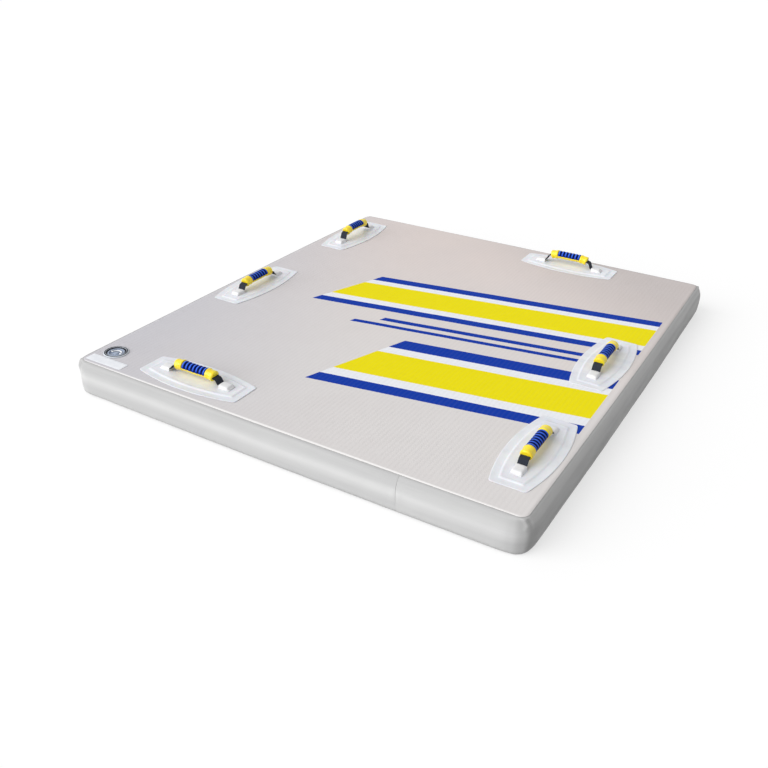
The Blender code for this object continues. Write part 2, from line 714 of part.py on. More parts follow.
def turned(name, profile, finish=None, segments=VALVE_SEGMENTS, closed=True):
    """A profile of (radius, height) points turned about Z. Its outer side is listed top to bottom."""
    mesh = bpy.data.meshes.new(name)
    points = [(radius, 0.0, height) for radius, height in profile]
    edges = [(index, index + 1) for index in range(len(points) - 1)]
    if closed:
        edges.append((len(points) - 1, 0))
    mesh.from_pydata(points, edges, [])
    made = add_object(name, mesh, finish)
    spin = made.modifiers.new("turn", "SCREW")
    spin.axis = "Z"
    spin.steps = segments
    spin.render_steps = segments
    spin.use_merge_vertices = True
    spin.merge_threshold = 0.0001
    spin.use_smooth_shade = True
    return made


def rod(name, radius, low, high, segments=SMALL_SEGMENTS, finish=None, matrix=None):
    """An upright cylinder between two heights, or one laid by a matrix."""
    bm = bmesh.new()
    lift = Matrix.Translation((0.0, 0.0, (low + high) / 2))
    bmesh.ops.create_cone(bm, cap_ends=True, segments=segments, radius1=radius, radius2=radius,
                          depth=high - low, matrix=(matrix or Matrix.Identity(4)) @ lift)
    return object_from(name, bm, finish)


def valve_base():
    """The part inside the platform: clamping flange, neck, well, seat and the spokes that guide the stem."""
    floor_top = WELL_LOW + WELL_FLOOR
    shoulder = CAP_SEAL_LOW - GAP - (NECK_RADIUS - NECK_BORE)
    base = turned("valve_base", [
        (NECK_RADIUS, NECK_TOP), (NECK_RADIUS, CLAMP_TOP), (CLAMP_FLANGE_RADIUS, CLAMP_TOP),
        (CLAMP_FLANGE_RADIUS, CLAMP_TOP - CLAMP_FLANGE_THICKNESS),
        (NECK_RADIUS, CLAMP_TOP - CLAMP_FLANGE_THICKNESS), (NECK_RADIUS, shoulder), (WELL_RADIUS, shoulder),
        (WELL_RADIUS, WELL_LOW), (AIRWAY_RADIUS, WELL_LOW), (AIRWAY_RADIUS, floor_top),
        (WELL_BORE, floor_top), (WELL_BORE, CAP_SEAL_LOW - GAP), (NECK_BORE, CAP_SEAL_LOW - GAP),
        (NECK_BORE, NECK_TOP - NECK_CHAMFER), (NECK_BORE + NECK_CHAMFER, NECK_TOP)], "valve_grey")
    hub = rod("hub_tool", HUB_RADIUS, WELL_LOW, floor_top)
    bm = bmesh.new()
    reach = (HUB_RADIUS + AIRWAY_RADIUS) / 2
    span = AIRWAY_RADIUS - HUB_RADIUS + OVERRUN
    for spoke in range(SPOKES):
        turn = Matrix.Rotation(2 * math.pi * spoke / SPOKES, 4, "Z")
        lift = Matrix.Translation((reach, 0.0, (WELL_LOW + floor_top) / 2))
        size = Matrix.Diagonal((span, SPOKE_WIDTH, WELL_FLOOR * SPOKE_DEPTH_SHARE, 1.0))
        bmesh.ops.create_cube(bm, size=1.0, matrix=turn @ lift @ size)
    spokes = object_from("spoke_tool", bm)
    bore = rod("stem_bore_tool", STEM_RADIUS + STEM_CLEARANCE, WELL_LOW - OVERRUN, floor_top + OVERRUN)
    boolean(base, hub, "UNION")
    boolean(base, spokes, "UNION")
    boolean(base, bore)
    return [base, hub, spokes, bore]


def valve_ring():
    """The visible ring, screwed down on the neck over the deck."""
    bore = NECK_RADIUS + GAP
    return turned("valve_ring", [
        (bore, RING_TOP), (RING_RADIUS - RING_CHAMFER, RING_TOP), (RING_RADIUS, RING_TOP - RING_CHAMFER),
        (RING_RADIUS, RING_LOW), (bore, RING_LOW)], "valve_grey")


def valve_gasket():
    bore = NECK_RADIUS + GAP
    low = GASKET_TOP - GASKET_THICKNESS
    return turned("valve_gasket", [(bore, GASKET_TOP), (CLAMP_FLANGE_RADIUS, GASKET_TOP),
                                   (CLAMP_FLANGE_RADIUS, low), (bore, low)], "rubber_black")


def valve_poppet():
    """The stem with its push button above the hub and its disc below the seat."""
    hub_top = WELL_LOW + WELL_FLOOR
    button_low = hub_top + GAP + SPRING_LENGTH + GAP
    disc_top = WELL_LOW - GAP - WASHER_THICKNESS - GAP
    poppet = turned("valve_poppet", [
        (0.0, button_low + BUTTON_THICKNESS),
        (BUTTON_RADIUS * BUTTON_TOP_SHARE, button_low + BUTTON_THICKNESS),
        (BUTTON_RADIUS, button_low + BUTTON_THICKNESS / 2), (BUTTON_RADIUS, button_low),
        (STEM_RADIUS, button_low), (STEM_RADIUS, disc_top), (POPPET_RADIUS, disc_top),
        (POPPET_RADIUS, disc_top - POPPET_THICKNESS), (0.0, disc_top - POPPET_THICKNESS)],
        "cap_grey", closed=False)
    bore = STEM_RADIUS + STEM_CLEARANCE
    washer_top = WELL_LOW - GAP
    washer_low = washer_top - WASHER_THICKNESS
    washer = turned("poppet_washer", [(bore, washer_top), (POPPET_RADIUS, washer_top),
                                      (POPPET_RADIUS, washer_low), (bore, washer_low)], "rubber_black")
    return [poppet, washer]


def valve_spring():
    """A coil spring round the stem, between the hub and the button."""
    low = WELL_LOW + WELL_FLOOR + GAP + SPRING_WIRE / 2
    rise = SPRING_LENGTH - SPRING_WIRE
    count = round(SPRING_TURNS * SPRING_CURL_POINTS) + 1
    curve = bpy.data.curves.new("valve_spring", "CURVE")
    curve.dimensions = "3D"
    curve.bevel_depth = SPRING_WIRE / 2
    curve.bevel_resolution = 1
    curve.use_fill_caps = True
    spline = curve.splines.new("POLY")
    spline.points.add(count - 1)
    turns = np.linspace(0.0, 2 * math.pi * SPRING_TURNS, count)
    for point, turn in zip(spline.points, turns):
        share = turn / turns[-1]
        point.co = (SPRING_RADIUS * math.cos(turn), SPRING_RADIUS * math.sin(turn), low + rise * share, 1.0)
    pitch = rise / SPRING_TURNS
    print(f"valve spring: least gap between turns {1000 * (pitch - SPRING_WIRE):.2f} mm")
    return add_object("valve_spring", curve, "spring_steel")


def valve_cap():
    """The twist cap: a skirt, a dished top with a raised rim, a round boss and two sockets for the bail."""
    under = DISH_LEVEL - DISH_FLOOR_THICKNESS
    inner = CAP_RADIUS - CAP_WALL
    rim_in = DISH_RADIUS
    boss = [(0.0, DISH_LEVEL + BOSS_HEIGHT)]
    boss += [(BOSS_RADIUS * out, DISH_LEVEL + BOSS_HEIGHT * up) for out, up in BOSS_SHARES]
    cap = turned("valve_cap", boss + [
        (rim_in, DISH_LEVEL), (rim_in + CAP_RIM_WIDTH * RIM_LEAN_SHARE, CAP_TOP),
        (CAP_RADIUS - CAP_TOP_CHAMFER, CAP_TOP),
        (CAP_RADIUS, CAP_TOP - CAP_TOP_CHAMFER), (CAP_RADIUS, CAP_LOW), (inner, CAP_LOW),
        (inner, under), (0.0, under)], "cap_grey", closed=False)
    reach = DISH_RADIUS + BAIL_PIN_REACH + GAP
    lay = Matrix.Translation((0.0, 0.0, BAIL_LEVEL)) @ Matrix.Rotation(math.pi / 2, 4, "Y")
    sockets = []
    for end in (-1, 1):
        low, high = sorted((end * (DISH_RADIUS - OVERRUN), end * reach))
        socket = rod(f"bail_socket_tool_{end + 2}", BAIL_PIN_RADIUS + PIN_CLEARANCE, low, high, matrix=lay)
        boolean(cap, socket)
        sockets.append(socket)
    seal = turned("valve_cap_seal", [
        (inner + GAP, CAP_SEAL_LOW + CAP_SEAL_THICKNESS), (CAP_RADIUS, CAP_SEAL_LOW + CAP_SEAL_THICKNESS),
        (CAP_RADIUS, CAP_SEAL_LOW), (inner + GAP, CAP_SEAL_LOW)], "rubber_black")
    return [cap, seal] + sockets


def cap_bail():
    """The half-ring that folds down into the dish, with an eye and a pin at each end, its hinge at Z zero."""
    curve = bpy.data.curves.new("bail_arc", "CURVE")
    curve.dimensions = "3D"
    curve.bevel_depth = BAIL_WIRE
    curve.bevel_resolution = 1
    curve.use_fill_caps = True
    spline = curve.splines.new("POLY")
    spline.points.add(BAIL_POINTS - 1)
    for point, turn in zip(spline.points, np.linspace(0.0, math.pi, BAIL_POINTS)):
        point.co = (BAIL_RADIUS * math.cos(turn), BAIL_RADIUS * math.sin(turn), 0.0, 1.0)
    arc = bpy.data.objects.new("bail_arc", curve)
    bpy.context.scene.collection.objects.link(arc)
    bpy.context.view_layer.update()
    mesh = bpy.data.meshes.new_from_object(arc.evaluated_get(bpy.context.evaluated_depsgraph_get()))
    bpy.data.objects.remove(arc)
    bm = bmesh.new()
    bm.from_mesh(mesh)
    bpy.data.meshes.remove(mesh)
    bail = object_from("cap_bail", bm, "valve_grey")
    lay = Matrix.Rotation(math.pi / 2, 4, "Y")
    tools = []
    for end in (-1, 1):
        eye_low, eye_high = sorted((end * (BAIL_RADIUS - BAIL_WIRE), end * (DISH_RADIUS - GAP)))
        pin_low, pin_high = sorted((end * BAIL_RADIUS, end * (DISH_RADIUS + BAIL_PIN_REACH)))
        eye = rod(f"bail_eye_tool_{end + 2}", BAIL_EYE_RADIUS, eye_low, eye_high, matrix=lay)
        pin = rod(f"bail_pin_tool_{end + 2}", BAIL_PIN_RADIUS, pin_low, pin_high, matrix=lay)
        for tool in (eye, pin):
            boolean(bail, tool, "UNION")
            tools.append(tool)
    return [bail] + tools


def build_valve():
    upright = valve_base() + [valve_ring(), valve_gasket(), valve_spring()] + valve_poppet() + valve_cap()
    for piece in upright:
        piece.location = (*VALVE_CENTRE, 0.0)
    for piece in cap_bail():
        piece.location = (*VALVE_CENTRE, BAIL_LEVEL)


def main():
    clear_scene()
    collection("swim_platform")
    collection("cutters")
    side_bands()
    backing_tapes()
    skins()
    deck_pad()
    spacer_core()
    label_patch()
    for handle in HANDLE_SHARES:
        build_handle(*handle)
    build_valve()


main()
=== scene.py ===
"""Looks of an inflatable swim platform: coated cloth, a printed deck, six grab handles and a twist-lock valve.

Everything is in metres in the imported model's own frame: +Z up, X across the deck, Y along it. Each piece
is a surface worked out with numpy, as a function of two parameters or as a section carried along a line.
"""

import logging
import math
from dataclasses import dataclass, field
from enum import Enum

import bpy
import bmesh
import numpy as np
from mathutils import Matrix, Vector


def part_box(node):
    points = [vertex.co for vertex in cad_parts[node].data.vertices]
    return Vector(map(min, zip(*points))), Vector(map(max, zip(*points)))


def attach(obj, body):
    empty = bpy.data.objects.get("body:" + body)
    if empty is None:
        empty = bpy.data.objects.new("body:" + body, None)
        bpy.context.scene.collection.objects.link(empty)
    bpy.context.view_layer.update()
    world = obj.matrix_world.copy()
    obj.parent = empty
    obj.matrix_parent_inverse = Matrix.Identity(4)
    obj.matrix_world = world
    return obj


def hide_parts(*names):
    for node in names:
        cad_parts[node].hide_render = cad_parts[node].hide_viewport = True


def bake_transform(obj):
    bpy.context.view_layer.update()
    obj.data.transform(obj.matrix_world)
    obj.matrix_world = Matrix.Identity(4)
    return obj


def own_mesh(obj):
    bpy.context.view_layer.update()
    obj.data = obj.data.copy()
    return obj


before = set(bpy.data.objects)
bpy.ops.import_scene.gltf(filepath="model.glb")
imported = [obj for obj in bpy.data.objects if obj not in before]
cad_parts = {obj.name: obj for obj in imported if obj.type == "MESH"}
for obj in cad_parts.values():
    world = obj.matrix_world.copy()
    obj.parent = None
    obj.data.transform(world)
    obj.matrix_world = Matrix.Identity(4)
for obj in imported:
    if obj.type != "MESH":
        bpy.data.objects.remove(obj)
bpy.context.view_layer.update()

logging.basicConfig(level=logging.INFO, format="%(name)s: %(message)s")
LOG = logging.getLogger("swim_platform")

Colour = tuple[float, float, float]
Pair = tuple[float, float]
Faces = list[tuple[int, ...]]
Shape = tuple[np.ndarray, Faces]
Profile = list[Pair] | np.ndarray
Socket = bpy.types.NodeSocket
Wire = Socket | float | tuple

TURN = 2 * math.pi
CLEAR = 0.0003          # the gap between touching pieces
GROOVE_PITCH = 0.0125   # the pitch of the deck's grooves
SEAM_STEP = 0.0075      # the pitch of points along the platform's sides
ALONG_X, ALONG_Y, ALONG_Z = (1.0, 0.0, 0.0), (0.0, 1.0, 0.0), (0.0, 0.0, 1.0)


# Numbers on whole arrays


def smooth(low: float, high: float, value: np.ndarray) -> np.ndarray:
    """The smooth step 3t^2 - 2t^3, where t runs from 0 at low to 1 at high and is held outside."""
    share = np.clip((value - low) / (high - low), 0.0, 1.0)
    return share * share * (3 - 2 * share)


def hump(centre: float, spread: float, value: np.ndarray) -> np.ndarray:
    """A bell exp(-((value - centre) / spread)^2), 1 at its centre."""
    return np.exp(-(((value - centre) / spread) ** 2))


def circle(steps: int) -> np.ndarray:
    """Even angles once round, from 0."""
    return np.linspace(0, TURN, steps, endpoint=False)


def super_circle(turn: np.ndarray, power: float) -> tuple[np.ndarray, np.ndarray]:
    """A unit superellipse: each of cos and sin keeps its sign and is raised to 2 / power."""
    cosine, sine = np.cos(turn), np.sin(turn)
    return np.sign(cosine) * np.abs(cosine) ** (2 / power), np.sign(sine) * np.abs(sine) ** (2 / power)


def points_of(*values: np.ndarray | float) -> np.ndarray:
    """Points from their coordinates, each an array or one number for all of them."""
    return np.stack(np.broadcast_arrays(*values), -1)


def way_along(line: np.ndarray) -> np.ndarray:
    """How far along a line of points each one lies."""
    return np.concatenate([[0.0], np.cumsum(np.linalg.norm(np.diff(line, axis=0), axis=1))])


def box_middle(low: Vector, high: Vector) -> Colour:
    """The middle of a box."""
    return tuple((near + far) / 2 for near, far in zip(low, high))


@dataclass(frozen=True)
class Ripple:
    """Soft irregular unevenness.

    Attributes:
        tall: its height, for the caller to multiply by.
        wave: the mean wave length.
        seed: picks the waves' directions, lengths and phases.
    """

    tall: float
    wave: float
    seed: int

    def at(self, first: np.ndarray, second: np.ndarray) -> np.ndarray:
        """The mean of eight sine waves of like length in scattered directions.

        Args:
            first: one coordinate of each place.
            second: the other coordinate.

        Returns:
            Values from about -1 to 1.
        """
        draw = np.random.default_rng(self.seed)
        total = np.zeros(np.broadcast(first, second).shape)
        for _ in range(8):
            heading, phase = draw.uniform(0, TURN, 2)
            length = self.wave * draw.uniform(0.6, 1.7)
            total += np.sin(TURN * (first * math.cos(heading) + second * math.sin(heading)) / length + phase)
        return total / 4


@dataclass(frozen=True)
class Fold:
    """A small form pressed into cloth.

    Attributes:
        tall: its height.
        across: where its middle lies, and its half width.
        down: the same down the wall, in shares of the section.
    """

    tall: float
    across: Pair
    down: Pair

    def at(self, across: np.ndarray, down: np.ndarray) -> np.ndarray:
        """Its height at each place: tall times one bell across and one down."""
        return self.tall * hump(*self.across, across) * hump(*self.down, down)


# Surfaces as grids of points


def lofted(rings: np.ndarray, wrap: bool = False) -> Shape:
    """A closed body through rings of points: quads between neighbours, and either end caps or a last link.

    Args:
        rings: points in the shape (ring, place, 3); each ring is closed.
        wrap: True joins the last ring to the first, and False caps both.

    Returns:
        Its points and faces.
    """
    count, around = rings.shape[:2]
    near = np.arange(count if wrap else count - 1)[:, None] * around
    far = (near + around) % (count * around)
    place = np.arange(around)[None, :]
    after = (place + 1) % around
    faces = np.stack([near + place, near + after, far + after, far + place], -1).reshape(-1, 4).tolist()
    if not wrap:
        last = (count - 1) * around
        faces += [list(range(around))[::-1], list(range(last, last + around))]
    return rings.reshape(-1, 3), faces


def sheet_grid(points: np.ndarray) -> Shape:
    """An open sheet over a grid of points, its faces turned to the side of row x column.

    Args:
        points: in the shape (row, column, 3).

    Returns:
        Its points and faces.
    """
    rows, columns = points.shape[:2]
    corner = (np.arange(rows - 1)[:, None] * columns + np.arange(columns - 1)[None, :]).reshape(-1)
    return points.reshape(-1, 3), points_of(corner, corner + columns, corner + columns + 1, corner + 1).tolist()


def slab(top: np.ndarray, low: float) -> Shape:
    """A closed sheet: a grid for its top, a straight edge down to a level, and one flat face below.

    Args:
        top: the upper surface's points in the shape (row, column, 3).
        low: the level of the flat underside.

    Returns:
        Its points and faces.
    """
    points, faces = sheet_grid(top)
    rows, columns = top.shape[:2]
    edge = np.concatenate([
        np.arange(columns), np.arange(2, rows) * columns - 1,
        np.arange(rows * columns - 1, (rows - 1) * columns - 1, -1), np.arange(rows - 2, 0, -1) * columns])
    under = points[edge].copy()
    under[:, 2] = low
    start = len(points)
    place = np.arange(len(edge))
    after = (place + 1) % len(edge)
    faces += points_of(edge[place], edge[after], start + after, start + place).tolist()
    faces += [(start + place)[::-1].tolist()]
    return np.vstack([points, under]), faces


def turned(profile: Profile, centre: Pair, segments: int = 96, flute: np.ndarray | float = 1.0) -> Shape:
    """A profile turned about an upright axis: x = r cos a, y = r sin a, at the profile's own height.

    Args:
        profile: (radius, height) points. One that starts and ends on the axis makes a solid, and any
            other is closed on itself and makes a ring.
        centre: the axis in X and Y.
        segments: steps round the axis.
        flute: a factor on the radius, or one for each profile point at each step.

    Returns:
        Its points and faces.
    """
    radius, height = np.array(profile).T
    solid = radius[0] < 1e-9 and radius[-1] < 1e-9
    if solid:
        radius, height = radius[1:-1], height[1:-1]
    angle = circle(segments)
    reach = radius[:, None] * flute
    rings = points_of(centre[0] + reach * np.cos(angle), centre[1] + reach * np.sin(angle), height[:, None])
    return lofted(rings, wrap=not solid)


def rounded(profile: Profile, radius: float, steps: int = 4, closed: bool = True) -> np.ndarray:
    """A profile with each corner replaced by a short quadratic curve.

    At a corner the curve runs from a point on the edge before it to one on the edge after it, each at
    the given distance or at 0.45 of that edge, whichever is less.

    Args:
        profile: (radius, height) points.
        radius: how far from its corner each curve starts.
        steps: pieces in each curve.
        closed: whether the last point joins the first.

    Returns:
        The finer profile.
    """
    points = np.array(profile)
    share = np.linspace(0, 1, steps + 1)[:, None, None]
    before, after = (edge * np.minimum(0.45, radius / np.linalg.norm(edge, axis=1))[:, None]
                     for edge in (np.roll(points, 1, 0) - points, np.roll(points, -1, 0) - points))
    fine = ((1 - share) ** 2 * before + share ** 2 * after + points).transpose(1, 0, 2)
    if closed:
        return fine.reshape(-1, 2)
    return np.vstack([points[:1], fine[1:-1].reshape(-1, 2), points[-1:]])


def tube(path: np.ndarray, radius: np.ndarray, sides: int = 12, wrap: bool = False) -> Shape:
    """A round tube along a path, its rings square to the path and kept from twisting by a fixed up.

    Args:
        path: points in the shape (point, 3).
        radius: the tube's radius at each point.
        sides: points round the tube.
        wrap: whether the path is closed.

    Returns:
        Its points and faces.
    """
    ahead = np.roll(path, -1, 0) - np.roll(path, 1, 0) if wrap else np.gradient(path, axis=0)
    ahead /= np.linalg.norm(ahead, axis=1)[:, None]
    across = np.cross(ahead, ALONG_Z)
    across /= np.linalg.norm(across, axis=1)[:, None]
    up = np.cross(across, ahead)
    angle = circle(sides)
    ring = np.cos(angle)[None, :, None] * across[:, None] + np.sin(angle)[None, :, None] * up[:, None]
    return lofted(path[:, None] + ring * radius.reshape(-1, 1, 1), wrap)


def rounded_box(width: float, height: float, corner: float, side_steps: int, corner_steps: int) -> np.ndarray:
    """A flat outline with round corners: four quarter circles joined by straight runs.

    Args:
        width: its size across.
        height: its size up.
        corner: the corners' radius.
        side_steps: steps along each straight run.
        corner_steps: steps in each quarter circle.

    Returns:
        (across, up) points, anticlockwise.
    """
    half = np.array([width / 2 - corner, height / 2 - corner])
    quarter = np.linspace(0, math.pi / 2, corner_steps + 1)
    arc = corner * points_of(np.cos(quarter), np.sin(quarter))
    pieces = []
    for number, sides in enumerate(((1, 1), (-1, 1), (-1, -1), (1, -1))):
        turn = math.pi / 2 * number
        spin = np.array([[math.cos(turn), math.sin(turn)], [-math.sin(turn), math.cos(turn)]])
        pieces.append(arc @ spin + sides * half)
    run = np.linspace(0, 1, side_steps + 1)[1:-1, None]
    return np.vstack([part for piece, following in zip(pieces, pieces[1:] + pieces[:1])
                      for part in (piece, piece[-1] + (following[0] - piece[-1]) * run)])


# Shader nodes


class NodeDesk:
    """Adds shader nodes to one tree and joins them."""

    def __init__(self, tree: bpy.types.NodeTree) -> None:
        """Empties a tree."""
        self.tree = tree
        tree.nodes.clear()

    def add(self, kind: str, **settings: object) -> bpy.types.Node:
        """A node of one kind, with some of its own settings.

        Args:
            kind: the node's type name, without the words ShaderNode.
            settings: its properties and their values.

        Returns:
            The node.
        """
        node = self.tree.nodes.new("ShaderNode" + kind)
        for key, value in settings.items():
            setattr(node, key, value)
        return node

    def plug(self, node: bpy.types.Node, inputs: dict[str | int, Wire]) -> bpy.types.Node:
        """Gives a node's inputs their values, or joins other nodes' outputs to them.

        Args:
            node: the node.
            inputs: a number, a colour or an output for each input, by its name or its place.

        Returns:
            The node.
        """
        for key, value in inputs.items():
            socket = node.inputs[key]
            if isinstance(value, Socket):
                self.tree.links.new(value, socket)
            elif socket.type == "RGBA":
                socket.default_value = (*value[:3], 1.0)
            else:
                socket.default_value = value
        return node

    def put(self, kind: str, inputs: dict[str | int, Wire], out: str | int = 0, **settings: object) -> Socket:
        """One output of a new node whose inputs are plugged, by its name or its place."""
        return self.plug(self.add(kind, **settings), inputs).outputs[out]

    def surface(self, kind: str, shader: Socket) -> None:
        """Joins a shader to the tree's output, of the kind Material or World."""
        self.plug(self.add("Output" + kind), {"Surface": shader})

    def coords(self, kind: str = "Object") -> Socket:
        """The surface's coordinates of one kind, Object or UV."""
        return self.add("TexCoord").outputs[kind]

    def scaled(self, vector: Wire, scale: Colour) -> Socket:
        """Coordinates with each axis multiplied by its own factor."""
        return self.put("Mapping", {"Vector": vector, "Scale": scale})

    def math(self, kind: str, *numbers: Wire) -> Socket:
        """One sum on numbers, by the operation's name."""
        return self.put("Math", dict(enumerate(numbers)), operation=kind)

    def along(self, direction: Colour, kind: str = "Object") -> Socket:
        """How far a point lies along a direction, in Object or UV coordinates."""
        return self.put("VectorMath", {0: self.coords(kind), 1: direction}, "Value", operation="DOT_PRODUCT")

    def noise(self, vector: Wire, scale: float, detail: float = 3.0) -> Socket:
        """Cloudy noise from 0 to 1, with so many clouds to the metre and so many finer layers."""
        return self.put("TexNoise", {"Vector": vector, "Scale": scale, "Detail": detail, "Roughness": 0.55},
                        "Fac")

    def waves(self, place: Wire, pitch: float) -> Socket:
        """A cosine of a coordinate, from 0 to 1, that peaks once in each pitch."""
        turn = self.math("MULTIPLY", place, TURN / pitch)
        return self.math("MULTIPLY_ADD", self.math("COSINE", turn), 0.5, 0.5)

    def ramp(self, value: Wire, stops: list | tuple, mode: str = "LINEAR") -> bpy.types.Node:
        """A colour ramp.

        Args:
            value: what it reads, from 0 to 1.
            stops: (place, (red, green, blue, alpha)) pairs.
            mode: how it passes between stops.

        Returns:
            The node, whose outputs are Color and Alpha.
        """
        node = self.plug(self.add("ValToRGB"), {"Fac": value})
        node.color_ramp.interpolation = mode
        marks = node.color_ramp.elements
        while len(marks) < len(stops):
            marks.new(1.0)
        for mark, (place, colour) in zip(marks, stops):
            mark.position = place
            mark.color = colour
        return node

    def span(self, value: Wire, low: float, high: float, start: float = 0.0, stop: float = 1.0,
             soft: bool = True) -> Socket:
        """A value carried from low..high to start..stop and held at the ends, in a smooth step where soft."""
        return self.put("MapRange", dict(enumerate((value, low, high, start, stop))),
                        interpolation_type="SMOOTHSTEP" if soft else "LINEAR")

    def mix(self, share: Wire, first: Wire, second: Wire, kind: str = "MIX") -> Socket:
        """Two colours mixed.

        Args:
            share: how much of the second.
            first: the first colour.
            second: the second colour.
            kind: the blend's name.

        Returns:
            The mixed colour.
        """
        node = self.add("Mix", data_type="RGBA", blend_type=kind)
        first_in, second_in = (place for place, socket in enumerate(node.inputs) if socket.type == "RGBA")
        self.plug(node, {"Factor": share, first_in: first, second_in: second})
        return next(socket for socket in node.outputs if socket.type == "RGBA")

    def bump(self, height: Wire, depth: float, under: Wire | None = None) -> Socket:
        """A normal bumped by a height from 0 to 1, where 1 is depth metres, over the normal under it."""
        below = {} if under is None else {"Normal": under}
        return self.put("Bump", {"Distance": depth, "Height": height, **below})


def new_material(name: str) -> tuple[bpy.types.Material, NodeDesk]:
    """An empty material.

    Args:
        name: its name.

    Returns:
        The material and the desk for its nodes.
    """
    made = bpy.data.materials.new(name)
    made.use_nodes = True
    return made, NodeDesk(made.node_tree)


@dataclass(frozen=True)
class Finish:
    """A surface finish: a mottled colour, an uneven gloss and a fine grain.

    Attributes:
        name: the material's name.
        colour: its main colour, linear.
        second: the colour that clouds of it lean to.
        roughness: the gloss at its middle.
        metallic: 1 for bare metal.
        cloud: clouds to the metre in colour and gloss.
        grain: grains to the metre in the relief.
        depth: the relief's depth in metres.
        coat: weight of the clear gloss on top.
        subsurface: weight of light that soaks in.
        shine: strength of the plain reflection, 0.5 for common plastic.
    """

    name: str
    colour: Colour
    second: Colour
    roughness: float
    metallic: float = 0.0
    cloud: float = 30.0
    grain: float = 1400.0
    depth: float = 0.00006
    coat: float = 0.0
    subsurface: float = 0.0
    shine: float = 0.4

    def base(self, desk: NodeDesk) -> Socket:
        """The colour over the surface."""
        clouds = desk.noise(desk.coords(), self.cloud, 4.0)
        return desk.mix(desk.span(clouds, 0.35, 0.7), self.colour, self.second)

    def gloss(self, desk: NodeDesk) -> Socket:
        """The roughness over the surface, a few hundredths either side of its middle."""
        clouds = desk.noise(desk.coords(), self.cloud * 2.3)
        return desk.span(clouds, 0.3, 0.7, self.roughness - 0.05, self.roughness + 0.07)

    def relief(self, desk: NodeDesk) -> Socket:
        """The bumped normal."""
        return desk.bump(desk.noise(desk.coords(), self.grain, 2.0), self.depth)

    def material(self) -> bpy.types.Material:
        """Builds the material once.

        Returns:
            The material, the same one each time.
        """
        found = bpy.data.materials.get(self.name)
        if found:
            return found
        made, desk = new_material(self.name)
        desk.surface("Material", desk.put("BsdfPrincipled", {
            "Metallic": self.metallic, "Specular IOR Level": self.shine, "Coat Weight": self.coat,
            "Coat Roughness": 0.2, "Subsurface Weight": self.subsurface, "Subsurface Scale": 0.004,
            "Base Color": self.base(desk), "Roughness": self.gloss(desk), "Normal": self.relief(desk)}))
        made.diffuse_color = (*self.colour, 1.0)
        return made


@dataclass(frozen=True)
class CoatedCloth(Finish):
    """PVC on a woven scrim, whose threads show faintly through the coating.

    Attributes:
        thread: the scrim's pitch in metres.
        thread_depth: how far the threads stand out.
        follows: Object or UV, the coordinates that the threads follow.
    """

    thread: float = 0.0016
    thread_depth: float = 0.00004
    follows: str = "Object"

    def relief(self, desk: NodeDesk) -> Socket:
        """Two sets of threads crossed at right angles, under soft waves of the cloth itself."""
        sets = (desk.waves(desk.along(way, self.follows), self.thread) for way in (ALONG_X, ALONG_Y))
        return desk.bump(desk.noise(desk.coords(), 26.0), self.depth,
                         desk.bump(desk.math("MAXIMUM", *sets), self.thread_depth))


